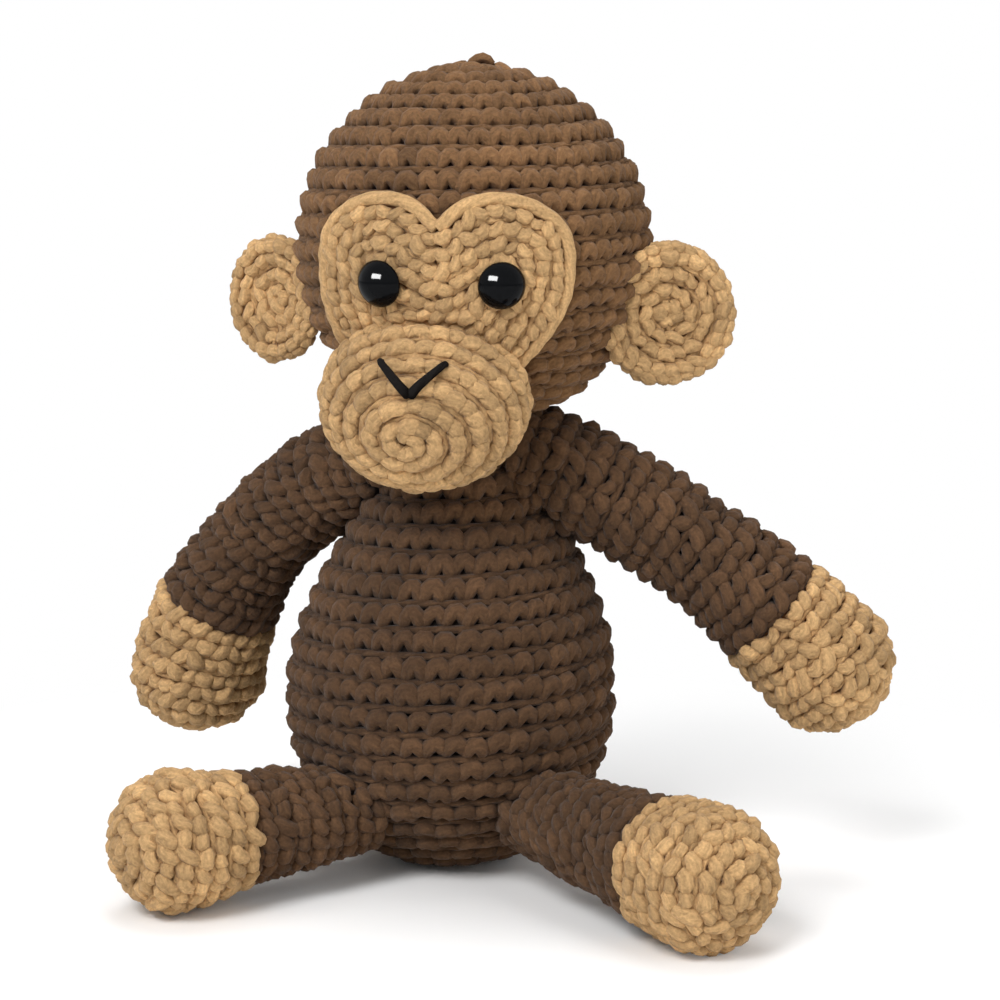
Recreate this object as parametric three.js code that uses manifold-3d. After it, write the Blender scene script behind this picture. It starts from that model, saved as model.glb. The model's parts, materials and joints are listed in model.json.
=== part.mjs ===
// A sitting crochet monkey: stuffed covers of single crochet, sewn together with yarn.
// Millimetres, +Z up, the toy faces -Y, and the origin is the middle of its flat seat.
import * as THREE from 'three';
import { mergeVertices } from 'three/addons/utils/BufferGeometryUtils.js';
import Module from 'manifold-3d';

const wasm = await Module();
wasm.setup();

// Fabric and fits
const fabric = 2.6; // thickness of the crochet fabric
const clearance = 0.3; // gap between neighbouring pieces
const cutMargin = 3; // how far a cut goes on past the skin
const seatCut = 1.3; // how deep the seat is pressed flat
const footCut = 0.5; // how deep a foot is pressed flat
const footGap = 0.6; // how high a foot hangs above the floor

// Torso, a pear shape
const torsoRadius = 33.6;
const torsoWidestAt = 34.3; // height of the widest round
const neckRadius = 13;
const neckHeight = 95;
const neckSlope = 1.15; // how long the pear stays full before it narrows
const torsoLean = 4.8; // sideways shift of the neck
const torsoLeanForward = 2;
const neckOpening = 9.5; // radius of the opening in torso and head
const neckYarn = 1.3; // radius of the sewing yarn round the neck
const neckTuck = 4; // how far the torso goes on above the neck's height, into the head's hollow

// Head, placed over the neck
const headRadius = 35.7;
const headAboveNeck = 30.6; // height of the head's middle above the neck's
const headHeight = neckHeight + headAboveNeck;
const headTurn = -12; // degrees, towards the toy's right
const headTilt = 0.3; // degrees, the toy's left ear lower
const crownTailRadius = 1.5;
const crownTailLength = 3;

// Face patch, a heart-shaped second layer of fabric
const patchThickness = 2.6;
const patchAside = 1.2; // middle, from the middle of the head
const patchHalfWidth = 25.1;
const patchTop = 12; // above the middle of the head
const patchBrowDip = 6.6;
const patchWidestAt = -4;
const patchBottom = -26;
const patchBottomHalfWidth = 13.5;
const patchDrift = -3.5; // sideways shift of its lower end

// Muzzle, a stuffed dome below the eyes
const muzzleHalfWidth = 20.3;
const muzzleHalfHeight = 17;
const muzzleDepth = 17;
const muzzleAside = -2.7; // middle, from the middle of the head
const muzzleForward = 30;
const muzzleBelow = 28.2;
const muzzlePitch = 22; // degrees that it looks down
const noseYarn = 0.9;
const noseWidth = 16;
const noseHeight = 8;
const noseAbove = 3.4; // lowest point of the nose, above the middle of the muzzle
const noseAside = 0.5; // lowest point of the nose, from the middle of the muzzle
const noseTopAside = 1.4; // middle between its upper ends

// Safety eyes: a dome with a stem, held by a washer behind the fabric
const eyeRadius = 4.5;
const eyeHeight = 3.4;
const eyeSpacing = 21.1;
const eyeAside = 1.65; // middle between the eyes, from the middle of the head
const eyeBelow = 4.8;
const stemRadius = 1.4;
const washerRadius = 4.6;
const washerThickness = 1.4;

// Ears, two cupped discs
const earRadius = 13.5;
const earUneven = 0.7; // the left ear is this much bigger and lower than the mean, the right one less
const earThickness = 5.2;
const earAside = 39.6;
const earForward = 3.5;
const earBelow = 11.8;
const earTurn = 28; // degrees that an ear faces outward

// Arms: the hand end is tan
const armRootRadius = 11;
const armMidRadius = 11;
const handRadius = 13.9;
const handLength = 28.5;
const shoulderHeight = 83.5;
const shoulderDepth = 1; // the pivot lies this far under the torso's surface
const shoulderSwing = 10; // degrees each way, forward and back
const shoulderLift = 7; // degrees upward

// Legs: the foot end is tan
const legRootRadius = 9;
const legMidRadius = 10.6;
const footRadius = 13.8;
const footLength = 26;
const hipHeight = 14.5;
const hipDepth = 1;
const hipSpread = 10; // degrees each way, in and out
const hipRaise = 15; // degrees upward from sitting
const steps = 3; // places at which a limb is cleared of the torso, over each range

const limbEnd = 0.88; // length of a limb's round end over its radius
const seamRadius = 4.6; // ring of sewing yarn hidden between limb and torso
const seamYarn = 0.7;
const relief = 3.5; // gap between a limb's filling and the torso

// How far each limb of this toy reaches, where it points and how far it can drop
const arms = {
  left: { side: 1, azimuth: 72, reach: 73, swing: 4.5, startDrop: 22, endDrop: 48, lower: 3 },
  right: { side: -1, azimuth: 96, reach: 73, swing: -28, startDrop: 14.5, endDrop: 76, lower: 3 },
};
const legs = {
  left: { side: 1, azimuth: 38, reach: 53.5, heading: 36 },
  right: { side: -1, azimuth: 44, reach: 39.6, heading: 58.5 },
};

// Motion of the head
const turnBack = 8; // degrees, further to the toy's right
const turnFar = 28; // degrees, to the toy's left
const nodDown = 5;
const nodUp = 8;
const nodAboveNeck = 8;
const nodHeight = neckHeight + nodAboveNeck; // height of the nodding axis

const around = 28; // facets round the big forms
const aroundInner = 20; // and round their hidden sides
const limbAround = 16;

const brown = { color: 0x59402f, roughness: 0.95, metalness: 0 };
const tan = { color: 0xb18a5f, roughness: 0.95, metalness: 0 };
const filling = { color: 0xf2f0ea, roughness: 1, metalness: 0 };
const blackYarn = { color: 0x17130f, roughness: 0.9, metalness: 0 };
const blackPlastic = { color: 0x0a0908, roughness: 0.12, metalness: 0 };
const clearPlastic = { color: 0xe6e3da, roughness: 0.4, metalness: 0 };

const radians = THREE.MathUtils.degToRad;

// Turns a closed three.js geometry into a solid
function solid(geometry) {
  const bare = geometry.index ? geometry.toNonIndexed() : geometry.clone();
  bare.deleteAttribute('normal');
  bare.deleteAttribute('uv');
  const merged = mergeVertices(bare, 1e-4);
  const corners = merged.index.array;
  const kept = [];
  for (let i = 0; i < corners.length; i += 3) {
    const [a, b, c] = [corners[i], corners[i + 1], corners[i + 2]];
    if (a !== b && b !== c && c !== a) kept.push(a, b, c);
  }
  const mesh = new wasm.Mesh({
    numProp: 3,
    vertProperties: new Float32Array(merged.attributes.position.array),
    triVerts: new Uint32Array(kept),
  });
  const made = new wasm.Manifold(mesh);
  if (made.volume() > 0) return made;
  for (let i = 0; i < kept.length; i += 3) [kept[i], kept[i + 1]] = [kept[i + 1], kept[i]];
  mesh.triVerts = new Uint32Array(kept);
  return new wasm.Manifold(mesh);
}

// Turns a solid into a named mesh, keeping its largest piece
function mesh(name, body, finish) {
  const pieces = body.decompose().sort((a, b) => b.volume() - a.volume());
  const made = pieces[0].getMesh();
  const geometry = new THREE.BufferGeometry();
  geometry.setAttribute('position', new THREE.BufferAttribute(made.vertProperties, 3));
  geometry.setIndex(new THREE.BufferAttribute(made.triVerts, 1));
  geometry.computeVertexNormals();
  const result = new THREE.Mesh(geometry, new THREE.MeshStandardMaterial(finish));
  result.name = name;
  return result;
}

// A body of revolution about Z from [radius, height] pairs
function revolve(profile, sides) {
  const points = profile.map(([r, z]) => new THREE.Vector2(Math.max(r, 0), z));
  return new THREE.LatheGeometry(points, sides).rotateX(Math.PI / 2);
}

function moved(body, matrix) {
  return body.transform(matrix.elements);
}

function turnAbout(point, axis, degrees) {
  const there = new THREE.Matrix4().makeTranslation(point.x, point.y, point.z);
  const turn = new THREE.Matrix4().makeRotationAxis(axis.clone().normalize(), radians(degrees));
  const back = new THREE.Matrix4().makeTranslation(-point.x, -point.y, -point.z);
  return there.multiply(turn).multiply(back);
}

// Places of a fixed neighbour as the moving piece sees it through two joints in a row
function seenPlaces(pivots, axes, ranges) {
  const places = [];
  for (const first of ranges[0]) {
    for (const second of ranges[1]) {
      const motion = turnAbout(pivots[0], axes[0], first).multiply(turnAbout(pivots[1], axes[1], second));
      places.push(motion.invert());
    }
  }
  return places;
}

function cutThrough(body, cutter, places) {
  return places.reduce((left, place) => left.subtract(moved(cutter, place)), body);
}

// Torso
function torsoRadiusAt(z) {
  if (z < torsoWidestAt) {
    const drop = (torsoWidestAt - z) / (torsoWidestAt + seatCut);
    return torsoRadius * Math.sqrt(Math.max(0, 1 - drop * drop));
  }
  const along = Math.min(1, (z - torsoWidestAt) / (neckHeight - torsoWidestAt));
  return neckRadius + (torsoRadius - neckRadius) * 0.5 * (1 + Math.cos(Math.PI * along ** neckSlope));
}

function torsoMiddleAt(z) {
  const up = Math.max(0, (z - torsoWidestAt) / (neckHeight - torsoWidestAt));
  return new THREE.Vector3(torsoLean * up * up, -torsoLeanForward * up * up, z);
}

function torsoForm(inset, sides, rings) {
  const bottom = -seatCut + inset;
  const top = neckHeight + neckTuck;
  const spread = inset < 0 ? 1 / Math.cos(Math.PI / sides) : 1;
  const profile = [[0, bottom]];
  for (let i = 1; i < rings; i++) {
    const share = i / rings;
    const z = bottom + (top - bottom) * (0.55 * share * share + 0.45 * share);
    profile.push([(torsoRadiusAt(z - inset) - inset) * spread, z]);
  }
  profile.push([(neckRadius - inset) * spread, top], [0, top]);
  const geometry = revolve(profile, sides);
  const place = geometry.attributes.position;
  for (let i = 0; i < place.count; i++) {
    const middle = torsoMiddleAt(place.getZ(i));
    place.setX(i, place.getX(i) + middle.x);
    place.setY(i, place.getY(i) + middle.y);
  }
  return solid(geometry);
}

// A flat slab under a height, which presses the seat and a foot flat
function floorSlab(height = 0) {
  const size = 8 * torsoRadius;
  return solid(new THREE.BoxGeometry(size, size, size).translate(0, 0, height - size / 2));
}

const neckTop = torsoMiddleAt(neckHeight);
const headMiddle = new THREE.Vector3(neckTop.x, neckTop.y, headHeight);
const head = new THREE.Group();
head.position.copy(headMiddle);
head.rotation.set(0, radians(headTilt), radians(headTurn), 'ZYX');
head.updateMatrixWorld(true);
const intoHead = head.matrixWorld.clone().invert();

const up = new THREE.Vector3(0, 0, 1);
const nodAxis = new THREE.Vector3(Math.cos(radians(headTurn)), Math.sin(radians(headTurn)), 0);
const nodPoint = new THREE.Vector3(headMiddle.x, headMiddle.y, nodHeight);
const nodAngles = [nodDown, 0, -nodUp];
const turnAngles = [0, -turnBack, turnFar / 2, turnFar];

function ball(radius, sides = around) {
  return solid(new THREE.SphereGeometry(radius, sides, sides / 2).rotateX(Math.PI / 2));
}

// Cuts the head's ball out of a lower piece, at each nod and at each turn that is given
function cutByHead(body, turns) {
  const middle = new THREE.Matrix4().makeTranslation(headMiddle.x, headMiddle.y, headMiddle.z);
  const nods = nodAngles.map((angle) => turnAbout(nodPoint, nodAxis, angle).multiply(middle));
  const places = turns.flatMap((turn) => nods.map((nod) => turnAbout(headMiddle, up, turn).multiply(nod)));
  const facetDip = headRadius * (1 - Math.cos(Math.PI / aroundInner));
  return cutThrough(body, ball(headRadius + clearance + facetDip, aroundInner), places);
}

const clearTorso = torsoForm(-clearance, aroundInner, 12);

// A plug along Z through the middle of the neck
function neckPlug(radius, from, to) {
  const plug = new THREE.CylinderGeometry(radius, radius, to - from, 20).rotateX(Math.PI / 2);
  return solid(plug.translate(headMiddle.x, headMiddle.y, (from + to) / 2));
}

function makeTorso() {
  const group = new THREE.Group();
  const inside = torsoForm(fabric, aroundInner, 9);
  const core = torsoForm(fabric + clearance, aroundInner, 9);
  const cover = torsoForm(0, around, 14).subtract(floorSlab()).subtract(inside);
  group.add(
    mesh('torso_cover', cutByHead(cover, turnAngles), brown),
    mesh('torso_filling', cutByHead(core, turnAngles), filling),
  );
  return group;
}

// The ring of yarn that sews the head on
function neckRing(grow) {
  const ringRadius = neckRadius + clearance + 0.6 * neckYarn;
  const drop = Math.sqrt(headRadius ** 2 - ringRadius ** 2);
  const ring = new THREE.TorusGeometry(ringRadius, neckYarn + grow, 6, aroundInner);
  return solid(ring.translate(headMiddle.x, headMiddle.y, headHeight - drop - neckYarn));
}

function makeNeckSeam() {
  const seen = [-turnBack, 0, turnFar].map((angle) => turnAbout(headMiddle, up, -angle));
  return mesh('neck_seam', cutByHead(cutThrough(neckRing(0), clearTorso, seen), [0]), brown);
}

// A piece on the head, in the head's own frame, kept clear of the torso and of the neck's yarn
function cutByNeck(body) {
  const torsoSeen = seenPlaces([headMiddle, nodPoint], [up, nodAxis], [turnAngles, nodAngles]);
  const ringSeen = nodAngles.map((angle) => turnAbout(nodPoint, nodAxis, -angle));
  const inHead = (place) => intoHead.clone().multiply(place);
  const clear = cutThrough(body, clearTorso, torsoSeen.map(inHead));
  return cutThrough(clear, neckRing(clearance), ringSeen.map(inHead));
}

// The left half of the heart outline: curves from the brow dip to the chin, as controls and end
function patchCurves() {
  const [wide, top, widest] = [patchHalfWidth, patchTop, patchWidestAt];
  const fall = patchBottom - widest;
  return [
    [[0.16 * wide, 1.09 * top], [0.53 * wide, 1.13 * top], [0.77 * wide, 0.82 * top]],
    [[0.96 * wide, 0.57 * top], [1.02 * wide, 0.3 * top], [wide, widest]],
    [[wide, widest + 0.36 * fall], [0.79 * wide, widest + 0.73 * fall], [patchBottomHalfWidth, patchBottom]],
  ];
}

function patchOutline() {
  let from = new THREE.Vector2(0, patchBrowDip);
  const half = [from];
  for (const curve of patchCurves()) {
    const [leave, arrive, to] = curve.map(([aside, above]) => new THREE.Vector2(aside, above));
    half.push(...new THREE.CubicBezierCurve(from, leave, arrive, to).getPoints(6).slice(1));
    from = to;
  }
  const other = half.slice(1).reverse().map(({ x, y }) => new THREE.Vector2(-x, y));
  const drift = (above) => patchDrift * (Math.min(0, above) / patchBottom) ** 2;
  return new THREE.Shape([...half, ...other].map(({ x, y }) => new THREE.Vector2(x + drift(y), y)));
}

function muzzleForm(inset) {
  const form = new THREE.SphereGeometry(1, 20, 12);
  form.scale(muzzleHalfWidth - inset, muzzleDepth - inset, muzzleHalfHeight - inset);
  form.rotateX(radians(muzzlePitch));
  return solid(form.translate(muzzleAside, -muzzleForward, -muzzleBelow));
}

// Middle of an eye's stem at a distance from the middle of the head
function eyeRod(side, radius, from, to) {
  const rod = new THREE.CylinderGeometry(radius, radius, to - from, 12).translate(0, (from + to) / 2, 0);
  const aim = eyeDirection(side);
  rod.applyQuaternion(new THREE.Quaternion().setFromUnitVectors(new THREE.Vector3(0, 1, 0), aim));
  return solid(rod);
}

function eyeDirection(side) {
  const aside = eyeAside + (side * eyeSpacing) / 2;
  const forward = Math.sqrt(headRadius ** 2 - aside ** 2 - eyeBelow ** 2);
  return new THREE.Vector3(aside, -forward, -eyeBelow).normalize();
}

const stemFrom = headRadius - fabric - clearance - washerThickness - 1;

function makeEye(side, name) {
  const seat = headRadius + clearance + patchThickness + clearance;
  const domeBulge = (eyeRadius ** 2 + eyeHeight ** 2) / (2 * eyeHeight);
  const profile = [[0, seat], [eyeRadius, seat]];
  for (let i = 1; i <= 4; i++) {
    const angle = (i / 4) * Math.asin(eyeRadius / domeBulge);
    const reach = domeBulge * Math.sin(Math.asin(eyeRadius / domeBulge) - angle);
    profile.push([reach, seat + domeBulge * Math.cos(Math.asin(eyeRadius / domeBulge) - angle)
      - (domeBulge - eyeHeight)]);
  }
  const dome = revolve(profile, 16);
  const aim = new THREE.Quaternion().setFromUnitVectors(up, eyeDirection(side));
  dome.applyQuaternion(aim);
  const made = solid(dome).add(eyeRod(side, stemRadius, stemFrom, seat + eyeHeight / 2));
  return mesh(name, made, blackPlastic);
}

function makeWasher(side, name) {
  const to = headRadius - fabric - clearance;
  const disc = eyeRod(side, washerRadius, to - washerThickness, to);
  const hole = eyeRod(side, stemRadius + clearance, stemFrom - 2, headRadius);
  return mesh(name, disc.subtract(hole), clearPlastic);
}

// A short black stitch over the muzzle between two places, as seen from its front
function makeNoseStitch(name, from, to) {
  const lift = noseYarn + clearance + 0.05;
  const tilt = new THREE.Matrix4().makeRotationX(radians(muzzlePitch));
  const untilt = tilt.clone().invert();
  const points = [];
  for (let i = 0; i <= 5; i++) {
    const aside = THREE.MathUtils.lerp(from[0], to[0], i / 5);
    const above = THREE.MathUtils.lerp(from[1], to[1], i / 5);
    const ray = new THREE.Vector3(aside, -muzzleDepth, above).applyMatrix4(untilt);
    const stretch = Math.hypot(ray.x / muzzleHalfWidth, ray.y / muzzleDepth, ray.z / muzzleHalfHeight);
    const outward = 1 + lift / muzzleHalfHeight;
    points.push(ray.multiplyScalar(outward / stretch).applyMatrix4(tilt));
  }
  const circle = new THREE.Shape().absarc(0, 0, noseYarn, 0, 2 * Math.PI);
  const settings = { steps: 8, curveSegments: 4, extrudePath: new THREE.CatmullRomCurve3(points), bevelEnabled: false };
  const tube = new THREE.ExtrudeGeometry(circle, settings);
  tube.translate(muzzleAside, -muzzleForward, -muzzleBelow);
  return mesh(name, solid(tube), blackYarn);
}

function makeEar(side, name, grownHead) {
  const cup = earThickness * 0.35;
  const rim = earThickness / 2;
  const radius = earRadius + side * earUneven;
  const profile = [[0, -rim - cup], [radius * 0.55, -rim - cup * 0.6], [radius - rim, -rim],
    [radius - rim * 0.3, -rim * 0.6], [radius, 0], [radius - rim * 0.3, rim * 0.6],
    [radius - rim, rim], [radius * 0.55, rim - cup * 0.6], [0, rim - cup]];
  const disc = revolve(profile, aroundInner).rotateX(Math.PI / 2);
  disc.rotateZ(radians(side * earTurn));
  disc.translate(side * earAside, -earForward, -earBelow - side * earUneven);
  return mesh(name, solid(disc).subtract(grownHead), tan);
}

function makeHead() {
  const skin = ball(headRadius);
  const grownSkin = ball(headRadius + clearance);
  const patchBack = ball(headRadius + clearance);
  const patchFront = ball(headRadius + clearance + patchThickness);
  const underHead = headHeight - headRadius - cutMargin;
  const opening = moved(neckPlug(neckOpening, underHead, headHeight - headRadius / 2), intoHead);
  const stems = [1, -1].map((side) => eyeRod(side, stemRadius + clearance, stemFrom - 2, 2 * headRadius));
  const pockets = [1, -1].map((side) =>
    eyeRod(side, washerRadius + clearance, stemFrom - 1, headRadius - fabric));

  let cover = skin.subtract(ball(headRadius - fabric, aroundInner)).subtract(opening);
  let stuffing = ball(headRadius - fabric - clearance, aroundInner);
  const outline = new THREE.ExtrudeGeometry(patchOutline(),
    { depth: 2 * headRadius, steps: 1, bevelEnabled: false }).rotateX(Math.PI / 2);
  outline.translate(patchAside, 0, 0);
  let patch = solid(outline).intersect(patchFront).subtract(patchBack).subtract(muzzleForm(-clearance));
  for (const stem of stems) {
    cover = cover.subtract(stem);
    patch = patch.subtract(stem);
  }
  for (const pocket of pockets) {
    cover = cover.subtract(pocket);
    stuffing = stuffing.subtract(pocket);
  }
  const muzzleCover = muzzleForm(0).subtract(muzzleForm(fabric)).subtract(grownSkin);
  const muzzleCore = muzzleForm(fabric + clearance).subtract(grownSkin);

  const tail = new THREE.CapsuleGeometry(crownTailRadius, crownTailLength - 2 * crownTailRadius, 3, 8);
  tail.rotateX(Math.PI / 2).rotateY(radians(25));
  tail.translate(crownTailRadius, 0, headRadius + crownTailLength / 2 - crownTailRadius);

  head.add(
    mesh('head_cover', cover, brown),
    mesh('head_filling', stuffing, filling),
    mesh('crown_yarn_end', solid(tail).subtract(grownSkin), brown),
    mesh('face_patch', patch, tan),
    mesh('muzzle_cover', cutByNeck(muzzleCover), tan),
    mesh('muzzle_filling', cutByNeck(muzzleCore), filling),
    makeNoseStitch('nose_stitch_left', [noseAside + noseYarn + clearance, noseAbove],
      [noseTopAside + noseWidth / 2, noseAbove + noseHeight]),
    makeNoseStitch('nose_stitch_right', [noseAside - noseYarn - clearance, noseAbove],
      [noseTopAside - noseWidth / 2, noseAbove + noseHeight]),
    makeEye(1, 'eye_left'),
    makeEye(-1, 'eye_right'),
    makeWasher(1, 'eye_washer_left'),
    makeWasher(-1, 'eye_washer_right'),
    makeEar(1, 'ear_left', grownSkin),
    makeEar(-1, 'ear_right', grownSkin),
  );
  return head;
}

// A limb's centre line starts at its pivot; radius and place follow the distance along it
function limbRadiusAt(s, limb) {
  const shoulder = THREE.MathUtils.smoothstep(s, 0, limb.reach * 0.45);
  const wrist = THREE.MathUtils.smoothstep(s, limb.reach * 0.45, limb.reach);
  const full = limb.rootRadius + (limb.midRadius - limb.rootRadius) * shoulder
    + (limb.endRadius - limb.midRadius) * wrist;
  const past = s < 0 ? s / (0.95 * limb.rootRadius) : (s - limb.reach) / (limb.endRadius * limbEnd);
  return s < 0 || past > 0 ? full * Math.sqrt(Math.max(0, 1 - past * past)) : full;
}

// Profile points from one distance along the limb to another, set in by the fabric
function limbSide(limb, inset, from, to, rings) {
  const tip = limb.reach + limb.endRadius * limbEnd;
  const closes = to >= tip;
  const stretch = closes ? (tip - inset - from) / (tip - from) : 1;
  const points = [];
  for (let i = 0; i <= rings; i++) {
    const share = closes ? Math.sin(((i / rings) * Math.PI) / 2) : i / rings;
    const s = from + (to - from) * share;
    const r = closes && i === rings ? 0 : limbRadiusAt(s, limb) - inset;
    points.push([Math.max(r, 0), from + (s - from) * stretch]);
  }
  return points;
}

// Bends a straight form along Z so that it follows the limb's centre line
function bend(geometry, line) {
  const place = geometry.attributes.position;
  for (let i = 0; i < place.count; i++) {
    const s = place.getZ(i);
    const { point, forward, across, above } = line(s);
    point.addScaledVector(across, place.getX(i)).addScaledVector(above, place.getY(i));
    place.setXYZ(i, point.x, point.y, point.z);
  }
  return geometry;
}

// The centre line falls from one drop angle to another in a vertical plane
function droopingLine(arm) {
  const heading = new THREE.Vector3(arm.side * Math.cos(radians(arm.swing)), -Math.sin(radians(arm.swing)), 0);
  const start = radians(arm.startDrop);
  const bendRate = radians(arm.endDrop - arm.startDrop) / arm.reach;
  return (s) => {
    const along = THREE.MathUtils.clamp(s, 0, arm.reach);
    const drop = start + bendRate * along;
    const out = (Math.sin(drop) - Math.sin(start)) / bendRate;
    const down = (Math.cos(start) - Math.cos(drop)) / bendRate;
    const point = heading.clone().multiplyScalar(out).addScaledVector(up, -down);
    const forward = heading.clone().multiplyScalar(Math.cos(drop)).addScaledVector(up, -Math.sin(drop));
    point.addScaledVector(forward, s - along);
    const across = new THREE.Vector3().crossVectors(forward, up).normalize();
    return { point, forward, across, above: new THREE.Vector3().crossVectors(across, forward) };
  };
}

function straightLine(leg) {
  const heading = radians(leg.heading);
  const forward = new THREE.Vector3(leg.side * Math.sin(heading), -Math.cos(heading), 0);
  forward.addScaledVector(up, leg.rise / leg.reach).normalize();
  const across = new THREE.Vector3().crossVectors(forward, up).normalize();
  const above = new THREE.Vector3().crossVectors(across, forward);
  return (s) => ({ point: forward.clone().multiplyScalar(s), forward, across, above });
}

// A pivot just under the torso's surface, with the surface's outward direction
function torsoPivot(height, side, azimuth, depth) {
  const angle = radians(azimuth);
  const aim = new THREE.Vector3(side * Math.sin(angle), -Math.cos(angle), 0);
  const slope = torsoRadiusAt(height - 0.5) - torsoRadiusAt(height + 0.5);
  const normal = aim.clone().addScaledVector(up, slope).normalize();
  const point = torsoMiddleAt(height).addScaledVector(aim, torsoRadiusAt(height)).addScaledVector(normal, -depth);
  return { point, normal };
}

// Evenly spaced angles over a range, and zero
function anglesOver([low, high]) {
  const angles = [0];
  for (let i = 0; i < steps; i++) {
    const angle = low + ((high - low) * i) / (steps - 1);
    if (Math.abs(angle) > 1) angles.push(angle);
  }
  return angles;
}

// One stuffed limb: brown cover, tan end, filling, and the hidden yarn ring at its root
function makeLimb(names, limb, line, pivot) {
  const tip = limb.reach + limb.endRadius * limbEnd;
  const start = -0.75 * limb.rootRadius;
  const endStart = tip - limb.endLength;
  const gap = clearance / 2;
  const form = (profile) => solid(bend(revolve(profile, limbAround), line));
  const shell = (from, to, rings) => {
    const outer = limbSide(limb, 0, from, to, rings);
    return form([...outer, ...limbSide(limb, fabric, from, to, rings).reverse(), outer[0]]);
  };
  const packed = fabric + clearance;
  const core = form([[0, start], ...limbSide(limb, packed, start, endStart, 6),
    ...limbSide(limb, packed, endStart, tip, 5).slice(1)]);
  const intoLimb = new THREE.Matrix4().makeTranslation(...pivot.point.clone().negate().toArray());
  const inLimb = (place) => intoLimb.clone().multiply(place);

  const [swings, lifts] = pivot.ranges.map(anglesOver);
  const joint = [pivot.point, pivot.point];
  const torsoSeen = seenPlaces(joint, pivot.axes, [swings, lifts]).map(inLimb);
  const torsoSeenByRing = seenPlaces(joint, pivot.axes, [swings, [0]]).map(inLimb);
  const origin = new THREE.Vector3();
  const ringSeen = lifts.map((angle) => turnAbout(origin, pivot.axes[1], -angle));
  const neckSeen = seenPlaces(joint, pivot.axes, [swings, [Math.max(...lifts)]]).map(inLimb);
  const cut = (body) => {
    const besideTorso = cutThrough(cutThrough(body, clearTorso, torsoSeen), neckRing(clearance), neckSeen);
    return cutThrough(besideTorso, seamRing(pivot, clearance), ringSeen);
  };

  const floor = moved(floorSlab(footGap), intoLimb);
  const innerTorso = torsoForm(-relief, aroundInner, 8);
  const innerSeen = seenPlaces(joint, pivot.axes, pivot.ranges).map(inLimb);
  const innerFloor = moved(floor, new THREE.Matrix4().makeTranslation(0, 0, fabric));
  const group = new THREE.Group();
  group.position.copy(pivot.point);
  group.add(
    mesh(names.sleeve, cut(shell(start, endStart - gap, 6).subtract(floor)), brown),
    mesh(names.cup, cut(shell(endStart + gap, tip, 5).subtract(floor)), tan),
    mesh(names.core, cutThrough(core, innerTorso, innerSeen).subtract(innerFloor), filling),
    mesh(names.seam, cutThrough(seamRing(pivot, 0), clearTorso, torsoSeenByRing), brown),
  );
  return group;
}

// The ring of sewing yarn, flat on the torso round the limb's pivot
function seamRing(pivot, grow) {
  const ring = new THREE.TorusGeometry(seamRadius, seamYarn + grow, 6, 14);
  ring.applyQuaternion(new THREE.Quaternion().setFromUnitVectors(up, pivot.normal));
  return solid(ring.translate(...pivot.normal.clone().multiplyScalar(pivot.depth + seamYarn).toArray()));
}

function makeArm(name) {
  const arm = arms[name];
  const surface = torsoPivot(shoulderHeight, arm.side, arm.azimuth, shoulderDepth);
  const axes = [surface.normal.clone().multiplyScalar(-arm.side), new THREE.Vector3(0, -arm.side, 0)];
  const ranges = [[-shoulderSwing, shoulderSwing], [-arm.lower, shoulderLift]];
  const limb = { reach: arm.reach, rootRadius: armRootRadius, midRadius: armMidRadius,
    endRadius: handRadius, endLength: handLength };
  const names = { sleeve: `arm_${name}`, cup: `hand_${name}`, core: `arm_filling_${name}`,
    seam: `shoulder_seam_${name}` };
  return makeLimb(names, limb, droopingLine(arm), { ...surface, depth: shoulderDepth, axes, ranges });
}

function makeLeg(name) {
  const leg = legs[name];
  const surface = torsoPivot(hipHeight, leg.side, leg.azimuth, hipDepth);
  const angle = radians(leg.azimuth);
  const level = new THREE.Vector3(-Math.cos(angle), -leg.side * Math.sin(angle), 0);
  const axes = [new THREE.Vector3(0, 0, leg.side), level];
  const ranges = [[-hipSpread, hipSpread], [0, hipRaise]];
  const limb = { reach: leg.reach, rootRadius: legRootRadius, midRadius: legMidRadius,
    endRadius: footRadius, endLength: footLength };
  const names = { sleeve: `leg_${name}`, cup: `foot_${name}`, core: `leg_filling_${name}`,
    seam: `hip_seam_${name}` };
  const rise = footRadius - footCut + footGap - surface.point.z;
  return makeLimb(names, limb, straightLine({ ...leg, rise }), { ...surface, depth: hipDepth, axes, ranges });
}

const monkey = new THREE.Group();
monkey.add(makeTorso(), makeNeckSeam(), makeHead());
for (const name of ['left', 'right']) monkey.add(makeArm(name), makeLeg(name));

export default monkey;
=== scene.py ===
"""A sitting crochet monkey, dressed in yarn: every cover is worked stitch by stitch over its form.

Metres, +Z up. The toy faces -Y, and the origin is the middle of its seat.
"""

import json
import logging
import math
from dataclasses import dataclass, field
from enum import Enum
from typing import Callable

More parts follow.
